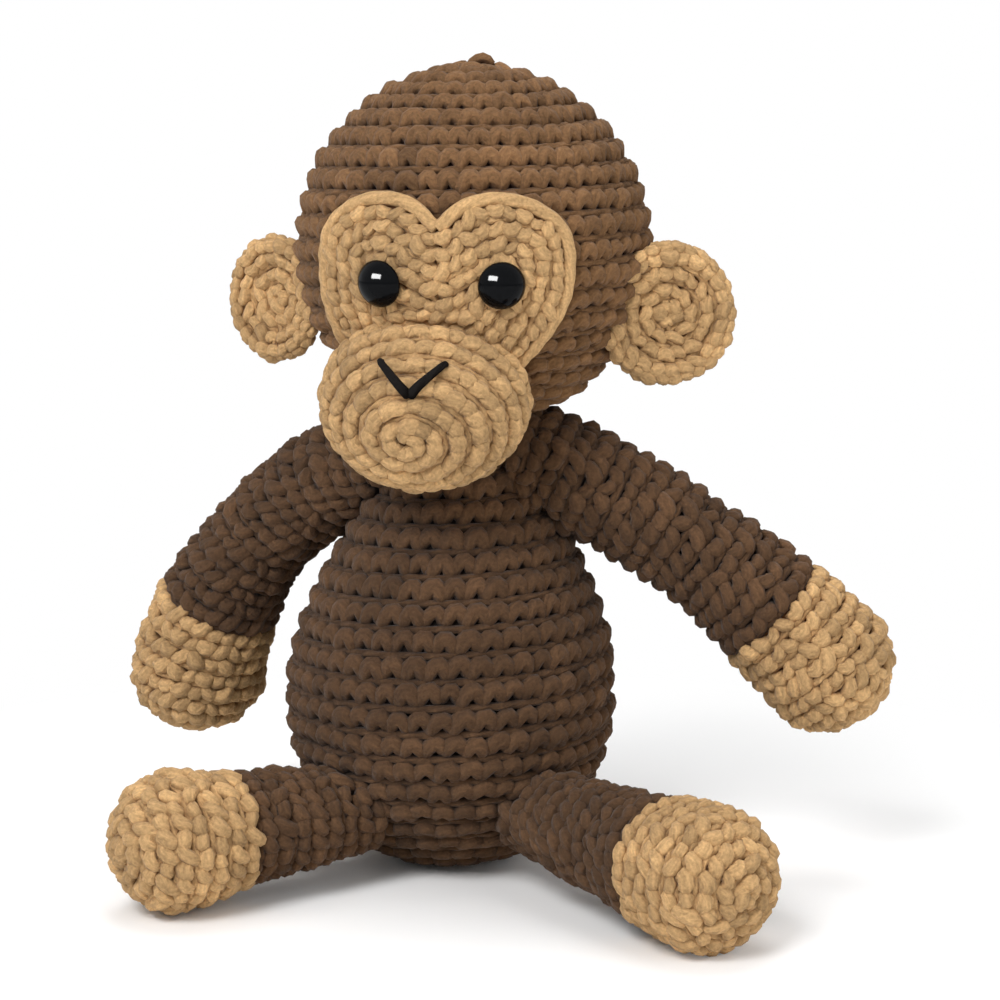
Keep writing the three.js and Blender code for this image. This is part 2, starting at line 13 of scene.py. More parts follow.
import bmesh
import bpy
import numpy as np
from mathutils import Matrix, Vector
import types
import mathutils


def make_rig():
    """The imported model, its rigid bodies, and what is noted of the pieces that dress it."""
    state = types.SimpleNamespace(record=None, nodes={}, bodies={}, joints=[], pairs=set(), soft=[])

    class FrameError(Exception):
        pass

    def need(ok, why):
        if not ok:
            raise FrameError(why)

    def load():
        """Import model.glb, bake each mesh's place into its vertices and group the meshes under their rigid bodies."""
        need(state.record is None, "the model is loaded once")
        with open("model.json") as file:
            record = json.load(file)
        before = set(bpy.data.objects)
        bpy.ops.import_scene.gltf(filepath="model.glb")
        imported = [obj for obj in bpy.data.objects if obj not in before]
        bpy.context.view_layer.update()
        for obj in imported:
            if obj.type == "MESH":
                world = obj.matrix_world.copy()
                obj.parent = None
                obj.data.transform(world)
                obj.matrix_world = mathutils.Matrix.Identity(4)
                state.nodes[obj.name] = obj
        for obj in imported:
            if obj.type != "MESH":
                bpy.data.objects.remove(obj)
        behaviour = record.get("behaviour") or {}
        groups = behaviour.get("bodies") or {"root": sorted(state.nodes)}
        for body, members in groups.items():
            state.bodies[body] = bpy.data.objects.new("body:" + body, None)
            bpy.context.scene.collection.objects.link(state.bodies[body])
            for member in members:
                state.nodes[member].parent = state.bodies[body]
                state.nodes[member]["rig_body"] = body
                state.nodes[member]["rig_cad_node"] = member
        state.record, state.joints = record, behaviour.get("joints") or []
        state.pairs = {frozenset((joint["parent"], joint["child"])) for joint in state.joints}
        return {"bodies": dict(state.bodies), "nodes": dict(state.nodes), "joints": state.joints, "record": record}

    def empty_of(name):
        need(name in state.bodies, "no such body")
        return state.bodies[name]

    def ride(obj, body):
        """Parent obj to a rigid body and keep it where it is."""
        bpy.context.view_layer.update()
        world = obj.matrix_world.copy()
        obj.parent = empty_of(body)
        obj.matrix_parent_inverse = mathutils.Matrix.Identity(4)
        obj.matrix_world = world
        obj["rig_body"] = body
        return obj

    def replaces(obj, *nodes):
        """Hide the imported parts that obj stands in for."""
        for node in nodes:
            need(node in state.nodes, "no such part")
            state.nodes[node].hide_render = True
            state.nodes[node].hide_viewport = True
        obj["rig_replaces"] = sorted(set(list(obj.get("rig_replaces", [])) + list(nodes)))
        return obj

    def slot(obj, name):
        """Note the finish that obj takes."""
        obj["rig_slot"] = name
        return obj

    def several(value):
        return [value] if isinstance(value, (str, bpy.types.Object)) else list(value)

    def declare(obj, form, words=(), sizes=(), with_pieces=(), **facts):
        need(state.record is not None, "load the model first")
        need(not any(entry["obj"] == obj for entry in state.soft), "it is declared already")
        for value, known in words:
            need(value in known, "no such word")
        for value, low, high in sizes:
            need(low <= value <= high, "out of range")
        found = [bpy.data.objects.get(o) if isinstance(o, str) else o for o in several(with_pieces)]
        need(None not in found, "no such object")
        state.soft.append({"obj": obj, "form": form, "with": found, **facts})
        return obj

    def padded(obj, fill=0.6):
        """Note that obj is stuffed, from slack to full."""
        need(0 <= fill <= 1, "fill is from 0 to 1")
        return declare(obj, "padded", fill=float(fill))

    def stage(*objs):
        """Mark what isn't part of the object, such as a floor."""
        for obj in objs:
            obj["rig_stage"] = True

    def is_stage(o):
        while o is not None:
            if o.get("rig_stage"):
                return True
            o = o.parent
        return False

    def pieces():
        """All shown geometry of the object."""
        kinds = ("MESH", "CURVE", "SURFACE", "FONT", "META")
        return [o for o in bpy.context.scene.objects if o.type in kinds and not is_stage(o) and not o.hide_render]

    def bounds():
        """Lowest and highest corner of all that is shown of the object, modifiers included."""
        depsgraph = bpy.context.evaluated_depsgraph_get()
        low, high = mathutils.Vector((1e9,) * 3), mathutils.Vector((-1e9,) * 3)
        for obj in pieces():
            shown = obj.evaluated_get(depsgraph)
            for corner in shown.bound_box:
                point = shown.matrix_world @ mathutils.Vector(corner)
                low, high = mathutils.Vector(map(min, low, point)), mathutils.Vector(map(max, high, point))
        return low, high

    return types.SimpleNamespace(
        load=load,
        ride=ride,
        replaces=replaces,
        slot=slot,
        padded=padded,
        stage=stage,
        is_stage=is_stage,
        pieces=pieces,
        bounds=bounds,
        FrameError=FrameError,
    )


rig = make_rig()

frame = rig.load()
cad_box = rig.bounds()

logging.basicConfig(level=logging.INFO, format="%(message)s")
log = logging.getLogger("monkey")

MM = 0.001
CLEARANCE = 0.3 * MM
FABRIC = 2.6 * MM
FULL_TURN = 2 * math.pi
WHITE = (1.0, 1.0, 1.0, 1.0)

Colour = tuple[float, float, float, float]
Socket = bpy.types.NodeSocket


class Side(Enum):
    """The toy's own left and right, as the sign of X."""

    LEFT = 1
    RIGHT = -1

    @property
    def label(self) -> str:
        """The side's name in a piece's name."""
        return self.name.lower()


class Crest(Enum):
    """Which way the upper end of a stitch looks: back to the first round, or on to the last."""

    TO_START = -1
    TO_END = 1


class Fabric(Enum):
    """How the stitches show: as ridges with small holes under them, as small lumps, or nearly smooth."""

    RIDGED = (
        (-0.47, -0.38, 2.15, 0.80),
        (-0.40, -0.18, 1.42, 0.96),
        (-0.28, 0.05, 1.06, 1.08),
        (-0.11, 0.17, 1.00, 1.14),
    )
    LUMPY = (
        (-0.49, -0.20, 2.10, 0.82),
        (-0.33, -0.03, 1.22, 1.04),
        (-0.12, 0.10, 1.00, 1.16),
    )
    SMOOTH = (
        (-0.49, -0.07, 1.28, 1.06),
        (-0.32, -0.01, 1.07, 1.14),
        (-0.12, 0.04, 1.00, 1.18),
    )

    def path(self) -> np.ndarray:
        """One stitch's run of yarn, and its mirror image.

        Returns:
            Rows of sideways share, share towards the crest, depth in yarn radii and thickness.
        """
        half = np.array(self.value)
        return np.concatenate([half, half[::-1] * [-1, 1, 1, 1]])


def srgb(red: int, green: int, blue: int) -> Colour:
    """Turns a colour as seen on a screen into scene-linear numbers.

    Args:
        red: Red, 0 to 255.
        green: Green, 0 to 255.
        blue: Blue, 0 to 255.

    Returns:
        The linear colour with an alpha of 1.
    """
    shares = [channel / 255 for channel in (red, green, blue)]
    linear = [c / 12.92 if c <= 0.04045 else ((c + 0.055) / 1.055) ** 2.4 for c in shares]
    return (linear[0], linear[1], linear[2], 1.0)


def unit(rows: np.ndarray) -> np.ndarray:
    """Vectors brought to a length of 1."""
    return rows / np.maximum(np.linalg.norm(rows, axis=-1, keepdims=True), 1e-9)


def run_length(path: np.ndarray) -> np.ndarray:
    """Distance along a path at each of its places."""
    return np.concatenate([[0.0], np.cumsum(np.linalg.norm(np.diff(path, axis=0), axis=1))])


def turned(degrees: float, axis: str) -> Matrix:
    """A turn about an axis."""
    return Matrix.Rotation(math.radians(degrees), 4, axis)


# Finishes


class Nodes:
    """Builds the nodes of a material or a world with short calls."""

    def __init__(self, owner: bpy.types.Material | bpy.types.World) -> None:
        """Starts with no nodes.

        Args:
            owner: The material or the world.
        """
        owner.use_nodes = True
        self.tree = owner.node_tree
        self.tree.nodes.clear()

    def feed(self, socket: Socket, value: object) -> None:
        """Links a socket's source, or sets its plain value.

        Args:
            socket: The socket.
            value: Another node's socket, or the value.
        """
        if isinstance(value, Socket):
            self.tree.links.new(value, socket)
        else:
            socket.default_value = value

    def add(self, kind: str, **settings: object) -> bpy.types.Node:
        """Adds a node.

        Args:
            kind: The node's type name without its ShaderNode prefix.
            **settings: Its properties, and under names with a capital what its inputs are fed.

        Returns:
            The new node.
        """
        node = self.tree.nodes.new("ShaderNode" + kind)
        for key, value in settings.items():
            if key[0].isupper():
                self.feed(node.inputs[key.replace("_", " ")], value)
            else:
                setattr(node, key, value)
        return node

    def fed(self, node: bpy.types.Node, values: dict[int, object], result: int = 0) -> Socket:
        """Feeds a node whose inputs share a name.

        Args:
            node: The node.
            values: What its inputs are fed, by their number.
            result: The number of the output.

        Returns:
            The output's socket.
        """
        for number, value in values.items():
            self.feed(node.inputs[number], value)
        return node.outputs[result]

    def math(self, operation: str, first: object, second: object = 0.0) -> Socket:
        """Adds a math node on two sockets or numbers."""
        return self.fed(self.add("Math", operation=operation), {0: first, 1: second})

    def blend(self, share: object, first: object, second: object) -> Socket:
        """Mixes two colours, by the second one's share."""
        return self.fed(self.add("Mix", data_type="RGBA"), {0: share, 6: first, 7: second}, 2)

    def blend_shaders(self, share: object, first: Socket, second: Socket) -> Socket:
        """Mixes two shaders, by the second one's share."""
        return self.fed(self.add("MixShader"), {0: share, 1: first, 2: second})

    def tint(self, colour: object, factor: object) -> Socket:
        """Makes a colour lighter or darker by a factor."""
        return self.add("VectorMath", operation="SCALE", Vector=colour, Scale=factor).outputs[0]

    def remap(self, value: object, low: float, high: float, to_low: float = 0.0,
              to_high: float = 1.0) -> Socket:
        """Maps a number from one range to another, and clamps it."""
        return self.add("MapRange", Value=value, From_Min=low, From_Max=high, To_Min=to_low,
                        To_Max=to_high).outputs[0]

    def noise(self, scale: float, detail: float, place: Socket | None = None) -> Socket:
        """Adds noise of a scale and a number of octaves, over the piece's own coordinates or a place."""
        place = self.add("TexCoord").outputs["Object"] if place is None else place
        return self.add("TexNoise", Scale=scale, Detail=detail, Vector=place).outputs[0]

    def attribute(self, name: str) -> Socket:
        """Reads a number kept on the mesh."""
        return self.add("Attribute", attribute_name=name).outputs["Fac"]

    def bump(self, height: Socket, distance: float, strength: float) -> Socket:
        """Bends the normal by a height, with the depth of a full step in metres and the effect's share."""
        return self.add("Bump", Distance=distance, Strength=strength, Height=height).outputs["Normal"]

    def end(self, surface: Socket, kind: str = "OutputMaterial") -> None:
        """Ends the nodes with their output."""
        self.add(kind, Surface=surface)

    def shader(self, **settings: object) -> None:
        """Ends a material with one principled shader, from what its inputs are fed."""
        self.end(self.add("BsdfPrincipled", **settings).outputs[0])


@dataclass(frozen=True)
class YarnFinish:
    """Matte plied cotton yarn, with painted shade that darkens it deep between the stitches.

    Streaks, blotches and fluff say how fine each pattern is; each tone pair, and the ply grooves' painted shade, is
    the least and greatest factor.
    """

    name: str
    slot: str
    colour: Colour
    # Colour of the painted shade deep between the stitches
    deep: Colour
    plies: int = 4
    twist_length: float = 7 * MM
    fuzz: float = 0.06
    streaks: float = 180.0
    blotches: float = 55.0
    fluff: float = 1700.0
    fluff_height: float = 0.4 * MM
    # Depths under the skin at which the painted shade starts and is full
    deep_from: float = 0.7 * MM
    deep_at: float = 2.4 * MM
    stitch_tones: tuple[float, float] = (0.72, 1.18)
    fibre_tones: tuple[float, float] = (0.72, 1.24)
    blotch_tones: tuple[float, float] = (0.84, 1.13)
    # Least and greatest factor of the painted shade in the grooves between the plies
    ply_tones: tuple[float, float] = (0.88, 1.0)

    def paint(self, nodes: Nodes) -> None:
        """Builds the yarn's look.

        Args:
            nodes: The material's nodes.
        """
        around = nodes.add("SeparateXYZ", Vector=nodes.add("UVMap", uv_map="yarn").outputs[0]).outputs["Y"]
        turns = nodes.math("MULTIPLY", around, float(self.plies))
        along = nodes.attribute("along")
        twist = nodes.math("ADD", turns, nodes.math("DIVIDE", along, self.twist_length))
        ply = nodes.remap(nodes.math("SINE", nodes.math("MULTIPLY", twist, FULL_TURN)), -1.0, 1.0)
        streak = nodes.add("CombineXYZ", X=twist, Y=nodes.math("MULTIPLY", along, self.streaks))
        fibre = nodes.noise(5.0, 3.0, streak.outputs[0])
        fluff = nodes.noise(self.fluff, 4.0)
        tones_and_groove_shade = (
            (nodes.attribute("shade"), 0.0, 1.0, self.stitch_tones),
            (nodes.math("ADD", fibre, fluff), 0.7, 1.3, self.fibre_tones),
            (nodes.noise(self.blotches, 2.0), 0.3, 0.7, self.blotch_tones),
            # Painted shade in the grooves between the plies
            (ply, 0.0, 0.45, self.ply_tones),
        )
        # The yarn's random tones times the painted shade of its ply grooves
        light = 1.0
        for value, low, high, tone in tones_and_groove_shade:
            light = nodes.math("MULTIPLY", light, nodes.remap(value, low, high, *tone))
        # Painted shade: the colour goes towards the deep colour with depth under the skin, where shade falls between
        # the stitches
        depth = nodes.remap(nodes.attribute("depth"), self.deep_from, self.deep_at)
        colour = nodes.tint(nodes.blend(depth, self.colour, self.deep), light)
        strand = nodes.math("ADD", nodes.math("MULTIPLY", ply, 0.7), nodes.math("MULTIPLY", fibre, 0.5))
        normal = nodes.bump(nodes.math("ADD", strand, fluff), self.fluff_height, 0.7)
        nodes.shader(Base_Color=colour, Roughness=0.95, Specular_IOR_Level=0.03, Sheen_Weight=self.fuzz,
                     Sheen_Roughness=0.55, Normal=normal)


@dataclass(frozen=True)
class StuffingFinish:
    """Loose white fibre."""

    name: str = "stuffing"
    slot: str = "filling"
    wisps: float = 900.0
    wisp_height: float = 0.6 * MM

    def paint(self, nodes: Nodes) -> None:
        """Builds the fibre's look.

        Args:
            nodes: The material's nodes.
        """
        wisps = nodes.noise(self.wisps, 6.0)
        colour = nodes.blend(wisps, srgb(214, 211, 203), srgb(250, 249, 246))
        normal = nodes.bump(wisps, self.wisp_height, 0.8)
        nodes.shader(Base_Color=colour, Roughness=1.0, Sheen_Weight=0.3, Normal=normal)


@dataclass(frozen=True)
class PlasticFinish:
    """Moulded plastic with faint wear."""

    name: str
    slot: str
    colour: Colour
    roughness: float
    gloss: float = 0.5
    scuffs: float = 0.04
    scuff_depth: float = 0.005 * MM

    def paint(self, nodes: Nodes) -> None:
        """Builds the plastic's look.

        Args:
            nodes: The material's nodes.
        """
        wear = nodes.noise(1400.0, 5.0)
        rough = nodes.remap(wear, 0.35, 0.75, self.roughness, self.roughness + self.scuffs)
        colour = nodes.tint(self.colour[:3], nodes.remap(wear, 0.0, 1.0, 0.9, 1.1))
        nodes.shader(Base_Color=colour, Roughness=rough, Specular_IOR_Level=self.gloss,
                     Normal=nodes.bump(wear, self.scuff_depth, 0.3))


BROWN = YarnFinish("dark_brown_yarn", "brown_crochet", srgb(85, 61, 41), srgb(20, 9, 3))
HEAD_BROWN = YarnFinish("mid_brown_yarn", "brown_crochet", srgb(116, 85, 56), srgb(36, 18, 6))
TAN = YarnFinish("tan_yarn", "tan_crochet", srgb(186, 150, 104), srgb(112, 68, 29))
BLACK_YARN = YarnFinish("black_embroidery_yarn", "black_yarn", srgb(20, 16, 14), srgb(8, 6, 5),
                        plies=3, twist_length=4 * MM, fuzz=0.0)
STUFFING = StuffingFinish()
BLACK_PLASTIC = PlasticFinish("polished_black_plastic", "black_plastic", srgb(7, 8, 10), 0.06, gloss=0.07)
CLEAR_PLASTIC = PlasticFinish("washer_plastic", "clear_plastic", srgb(228, 226, 218), 0.4)

Finish = YarnFinish | StuffingFinish | PlasticFinish
materials: dict[str, bpy.types.Material] = {}


def dress(piece: bpy.types.Object, finish: Finish) -> None:
    """Gives a piece its material, which is built once, and names its slot.

    Args:
        piece: The piece.
        finish: Its finish.
    """
    if finish.name not in materials:
        materials[finish.name] = bpy.data.materials.new(finish.name)
        finish.paint(Nodes(materials[finish.name]))
    piece.data.materials.clear()
    piece.data.materials.append(materials[finish.name])
    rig.slot(piece, finish.slot)


# Forms


def lumps(points: np.ndarray, height: float) -> np.ndarray:
    """Gentle unevenness of hand stuffing.

    Args:
        points: Places, one a row.
        height: Greatest rise or dip, in metres.

    Returns:
        How far each place rises.
    """
    x, y, z = points.T / (11 * MM)
    waves = np.sin(x + 1.3 * y + 0.4) + np.sin(1.1 * y - 0.9 * z + 2.1) + np.sin(0.8 * z + 1.2 * x + 4.0)
    return height * waves / 3


@dataclass
class Form:
    """A closed form round a centre line, read by the distance along its skin and a turn about the line.

    The distance starts at the pole where the crochet starts. Row i of the tables is one ring.
    """

    middle: np.ndarray
    forward: np.ndarray
    across: np.ndarray
    above: np.ndarray
    wide: np.ndarray
    tall: np.ndarray
    place: Matrix = field(default_factory=lambda: Matrix.Identity(4))
    unevenness: float = 0.35 * MM

    def __post_init__(self) -> None:
        """Measures the skin from ring to ring."""
        step = np.diff(self.middle, axis=0)
        ahead = np.einsum("ij,ij->i", step, (self.forward[1:] + self.forward[:-1]) / 2)
        out = np.diff((self.wide + self.tall) / 2)
        pace = np.maximum(np.hypot(ahead, out), 1e-9)
        self.along = np.concatenate([[0.0], np.cumsum(pace)])
        halfway = (self.along[1:] + self.along[:-1]) / 2
        self.rise = np.interp(self.along, halfway, ahead / pace)
        self.spread = np.interp(self.along, halfway, out / pace)
        self.turn = np.array(self.place.to_3x3())
        self.shift = np.array(self.place.translation)

    @property
    def length(self) -> float:
        """Distance along the skin from pole to pole."""
        return float(self.along[-1])

    def read(self, table: np.ndarray, distance: np.ndarray) -> np.ndarray:
        """Looks a table up at distances along the skin.

        Args:
            table: One number or one vector for each ring.
            distance: Distances, of any array shape.

        Returns:
            The values, with a last axis of 3 for vectors.
        """
        if table.ndim == 1:
            return np.interp(distance, self.along, table)
        return np.stack([np.interp(distance, self.along, column) for column in table.T], axis=-1)

    def stretched(self, table: np.ndarray, distance: np.ndarray, by: np.ndarray) -> np.ndarray:
        """A table's vectors at distances along the skin, each times its own number."""
        return self.read(table, distance) * by[..., None]

    def girth(self, distance: float) -> float:
        """Length round the form at a distance."""
        wide, tall = (float(self.read(table, np.array(distance))) for table in (self.wide, self.tall))
        return FULL_TURN * math.sqrt((wide ** 2 + tall ** 2) / 2)

    def normal(self, distance: np.ndarray, turn: np.ndarray) -> np.ndarray:
        """Outward direction of the skin.

        Args:
            distance: Distances along the skin.
            turn: Turns about the centre line, in radians.

        Returns:
            Unit vectors.
        """
        wide = np.maximum(self.read(self.wide, distance), 1e-6)
        tall = np.maximum(self.read(self.tall, distance), 1e-6)
        out = unit(self.stretched(self.across, distance, np.cos(turn) / wide)
                   + self.stretched(self.above, distance, np.sin(turn) / tall))
        facing = (out * self.read(self.rise, distance)[..., None]
                  - self.stretched(self.forward, distance, self.read(self.spread, distance)))
        return unit(facing) @ self.turn.T

    def at(self, distance: np.ndarray, turn: np.ndarray) -> np.ndarray:
        """Places on the skin.

        Args:
            distance: Distances along the skin.
            turn: Turns about the centre line, in radians.

        Returns:
            The places in the toy's frame.
        """
        distance = np.clip(distance, 0.0, self.length)
        place = (self.read(self.middle, distance)
                 + self.stretched(self.across, distance, self.read(self.wide, distance) * np.cos(turn))
                 + self.stretched(self.above, distance, self.read(self.tall, distance) * np.sin(turn)))
        place = place @ self.turn.T + self.shift
        rise = lumps(place.reshape(-1, 3), self.unevenness).reshape(place.shape[:-1])
        return place + self.normal(distance, turn) * rise[..., None]

    def wrapped(self, share: np.ndarray, turn: np.ndarray, depth: float) -> np.ndarray:
        """Places at a depth under the skin, by the share of the way from pole to pole and the turn."""
        distance = share * self.length
        return self.at(distance, turn) - self.normal(distance, turn) * depth


def straight_form(height: np.ndarray, radius: np.ndarray, place: Matrix, unevenness: float,
                  widen: float = 1.0) -> Form:
    """A form of revolution about its own Z, with its first pole at the first height.

    Args:
        height: Height of each ring, in the order of the work.
        radius: Radius of each ring.
        place: Where the form's own frame stands.
        unevenness: Height of its lumps.
        widen: Width over depth of its rings.

    Returns:
        The form.
    """
    count = len(height)
    heading = np.sign(height[-1] - height[0]) or 1.0
    middle = np.stack([np.zeros(count), np.zeros(count), height], axis=1)
    forward, across, above = (np.tile(axis, (count, 1))
                              for axis in ([0.0, 0.0, heading], [0.0, 1.0, 0.0], [1.0, 0.0, 0.0]))
    return Form(middle, forward, across, above, radius.copy(), radius * widen, place, unevenness)


# Yarn


@dataclass(frozen=True)
class Gauge:
    """Size of the stitches and of the yarn, their slant and how loosely they are worked."""

    width: float
    height: float
    yarn: float
    tilt: float = 0.05
    loose: float = 1.0
    loop_yarn: float = 0.9 * MM
    loop_depth: float = 1.65 * MM


GAUGE = Gauge(4.4 * MM, 5.3 * MM, 1.54 * MM, loose=1.3)
HEAD_GAUGE = Gauge(4.0 * MM, 5.0 * MM, 1.42 * MM, loose=1.5)
MUZZLE_GAUGE = Gauge(3.4 * MM, 4.4 * MM, 1.5 * MM)
LUMP_GAUGE = Gauge(3.4 * MM, 3.8 * MM, 1.36 * MM, tilt=0.3, loose=1.7)
FINE_GAUGE = Gauge(2.9 * MM, 3.2 * MM, 1.16 * MM, tilt=0.25, loose=1.6)

# How far the yarn stands out of the form's skin, and how deep and how far over the floor the rest lies
OUTWARD = 0.1 * MM
GROUND = 2.3 * MM
WALL = 0.6 * MM
# Depth that the ground reads at, past where the painted shade is full, so the ground is painted wholly in shade
GROUND_SHADE_DEPTH = 3.2 * MM
GROUND_FLOOR = 1.6 * MM
STUFFING_DEPTH = 3.6 * MM
STUFFING_FLOOR = 3.2 * MM

# How much stitches differ in size and place, slant sideways, sink and differ in shade
STRETCH = 0.05
STRAY = 0.03
SLANT = 0.10
SINK = 0.12 * MM
LOOP_SINK = 0.08 * MM
SHADE_SPREAD = 0.22

# A new strand starts where two stitches lie this many widths apart
BREAK = 2.6
# How far a round is shifted from the one before it, in stitches
ROUND_SHIFT = 0.37


@dataclass
class Cells:
    """The stitches of a cover, in the order of the work.

    A cell has its middle, the step to the next cell and the step to the next row, in the form's two numbers.
    """

    middle: np.ndarray
    side: np.ndarray
    rise: np.ndarray

    @classmethod
    def joined(cls, rows: list[tuple[np.ndarray, np.ndarray, np.ndarray]]) -> "Cells":
        """Joins the cells of all rows."""
        return cls(*(np.concatenate(column) for column in zip(*rows)))

    def __len__(self) -> int:
        """Number of stitches."""
        return len(self.middle)

    def kept(self, keep: np.ndarray) -> "Cells":
        """The cells that a mask keeps."""
        return Cells(self.middle[keep], self.side[keep], self.rise[keep])


def rounds(form: Form, start: float, stop: float, spiral: bool, gauge: Gauge) -> Cells:
    """Lays rounds of stitches on a form.

    Args:
        form: The form.
        start: Distance along the skin at which the rounds start.
        stop: Distance at which they stop.
        spiral: Whether a round climbs into the next one, as it does without a join.
        gauge: Size of the stitches.

    Returns:
        The cells.
    """
    count = max(1, round((stop - start) / gauge.height))
    height = (stop - start) / count
    rows = []
    for row in range(count):
        distance = start + (row + 0.5) * height
        stitches = max(6, round(form.girth(distance) / gauge.width))
        turn = FULL_TURN * (np.arange(stitches) + ROUND_SHIFT * row % 1) / stitches
        # The first and last rounds of a spiral climb half as far, so that they start and end level
        first, last = (-0.5 * (row > 0), 0.5 * (row < count - 1)) if spiral else (0.0, 0.0)
        climb = height * (first + (last - first) * turn / FULL_TURN)
        slope = height * (last - first) / stitches
        rows.append((np.stack([distance + climb, turn], axis=1),
                     np.tile([slope, FULL_TURN / stitches], (stitches, 1)),
                     np.tile([height, 0.0], (stitches, 1))))
    return Cells.joined(rows)


@dataclass
class Strand:
    """A run of yarn: places, outward directions, depths under the skin, thicknesses and shades."""

    places: np.ndarray
    normals: np.ndarray
    depths: np.ndarray
    radii: np.ndarray
    shades: np.ndarray


def stitch_strands(surface: "Form | FacePlane", cells: Cells, fabric: Fabric, crest: Crest,
                   seed: int, gauge: Gauge) -> list[Strand]:
    """Works the cells in one run of yarn, with a lower run that ties the rows.

    Args:
        surface: What the cells lie on.
        cells: The stitches.
        fabric: How the stitches show.
        crest: Which way their upper ends look.
        seed: Seed of the small differences between stitches.
        gauge: Size of the stitches.

    Returns:
        The strands, split where the cells are not neighbours.
    """
    draw = np.random.default_rng(seed)
    count = len(cells)
    across, towards, below, thickness = fabric.path().T
    jitter = gauge.loose * np.clip(draw.normal(0.0, 1.0, (count, 1, 5)), -2, 2)
    shade = np.clip(0.5 + SHADE_SPREAD * draw.normal(0.0, 1.0, (count, 1)), 0, 1)
    sideways = across * (1 + STRETCH * jitter[..., 0]) + STRAY * jitter[..., 1] + SLANT * towards
    upward = crest.value * (towards * (1 + STRETCH * jitter[..., 2]) + STRAY * jitter[..., 3])
    upward = upward + gauge.tilt * (1 + jitter[..., 0]) * across
    depth = below * gauge.yarn + SINK * jitter[..., 3] - OUTWARD
    radius = thickness * (1 + STRETCH * jitter[..., 4]) * gauge.yarn
    loop_side = np.broadcast_to([-0.25, 0.25], (count, 2))
    loop_up = np.broadcast_to(crest.value * 0.5, (count, 2))
    loop_depth = gauge.loop_depth + np.array([0.0, 0.25]) * gauge.yarn + LOOP_SINK * jitter[..., 3]
    loop_radius = np.full((count, 2), gauge.loop_yarn)
    runs = [(sideways, upward, depth, radius), (loop_side, loop_up, loop_depth, loop_radius)]

    strands = []
    for side, up, deep, thick in runs:
        spot = (cells.middle[:, None, :] + side[..., None] * cells.side[:, None, :]
                + up[..., None] * cells.rise[:, None, :])
        normals = surface.normal(spot[..., 0], spot[..., 1])
        places = surface.at(spot[..., 0], spot[..., 1]) - normals * deep[..., None]
        apart = np.linalg.norm(np.diff(places.mean(axis=1), axis=0), axis=1) > BREAK * gauge.width
        breaks = [0, *(np.nonzero(apart)[0] + 1), count]
        for first, last in zip(breaks[:-1], breaks[1:]):
            shape = (last - first) * side.shape[1]
            strands.append(Strand(
                places[first:last].reshape(shape, 3), normals[first:last].reshape(shape, 3),
                deep[first:last].reshape(shape), thick[first:last].reshape(shape),
                np.repeat(shade[first:last, 0], side.shape[1])))
    return strands


def yarn_tubes(name: str, strands: list[Strand], resolution: int) -> bpy.types.Mesh:
    """Turns strands into round yarn.

    Args:
        name: The mesh's name.
        strands: The runs of yarn.
        resolution: The bevel's resolution.

    Returns:
        Open tubes, with their rings in the strands' order.
    """
    curve = bpy.data.curves.new(name, "CURVE")
    curve.dimensions = "3D"
    curve.bevel_depth = 1.0
    curve.bevel_resolution = resolution
    curve.use_fill_caps = False
    for strand in strands:
        spline = curve.splines.new("POLY")
        spline.points.add(len(strand.places) - 1)
        corners = np.concatenate([strand.places, np.ones((len(strand.places), 1))], axis=1)
        spline.points.foreach_set("co", corners.ravel())
        spline.points.foreach_set("radius", strand.radii)
    carrier = bpy.data.objects.new(name, curve)
    bpy.context.scene.collection.objects.link(carrier)
    made = bpy.data.meshes.new_from_object(carrier.evaluated_get(bpy.context.evaluated_depsgraph_get()))
    bpy.data.objects.remove(carrier)
    bpy.data.curves.remove(curve)
    return made


def set_numbers(mesh: bpy.types.Mesh, **numbers: object) -> None:
    """Keeps numbers on a mesh's vertices for its material.

    Args:
        mesh: The mesh.
        **numbers: For each attribute's name one value, or one for each vertex.
    """
    for key, values in numbers.items():
        spread = np.broadcast_to(values, len(mesh.vertices)).astype(np.float32)
        mesh.attributes.new(key, "FLOAT", "POINT").data.foreach_set("value", spread)


def yarn_mesh(name: str, strands: list[Strand], resolution: int = 2) -> bpy.types.Mesh:
    """Turns strands into round yarn with its numbers for the material.

    Args:
        name: The mesh's name.
        strands: The runs of yarn.
        resolution: The bevel's resolution; 2 makes eight sides.

    Returns:
        A closed mesh.
    """
    ring = 4 + 2 * resolution
    made = yarn_tubes(name, strands, resolution)
    places = np.empty(len(made.vertices) * 3)
    made.vertices.foreach_get("co", places)
    centre, normals, depths, shades = (
        np.concatenate([getattr(strand, key) for strand in strands])
        for key in ("places", "normals", "depths", "shades"))
    outward = np.einsum("nrk,nk->nr", places.reshape(-1, ring, 3) - centre[:, None, :], normals)
    along = np.concatenate([run_length(strand.places) for strand in strands])
    # The depth of each vertex under the skin, with its side of the tube, drives the yarn's painted shade
    set_numbers(made, depth=(depths[:, None] - outward).ravel() + OUTWARD, shade=np.repeat(shades, ring),
                along=np.repeat(along, ring))
    made.uv_layers[0].name = "yarn"

    mesh = bmesh.new()
    mesh.from_mesh(made)
    bmesh.ops.holes_fill(mesh, edges=[edge for edge in mesh.edges if edge.is_boundary], sides=ring)
    mesh.to_mesh(made)
    mesh.free()
    return made


def finished(mesh: bmesh.types.BMesh, name: str) -> bpy.types.Mesh:
    """Turns a bmesh into a mesh, and frees it.

    Args:
        mesh: The bmesh.
        name: The mesh's name.

    Returns:
        The mesh.
    """
    made = bpy.data.meshes.new(name)
    mesh.to_mesh(made)
    mesh.free()
    return made


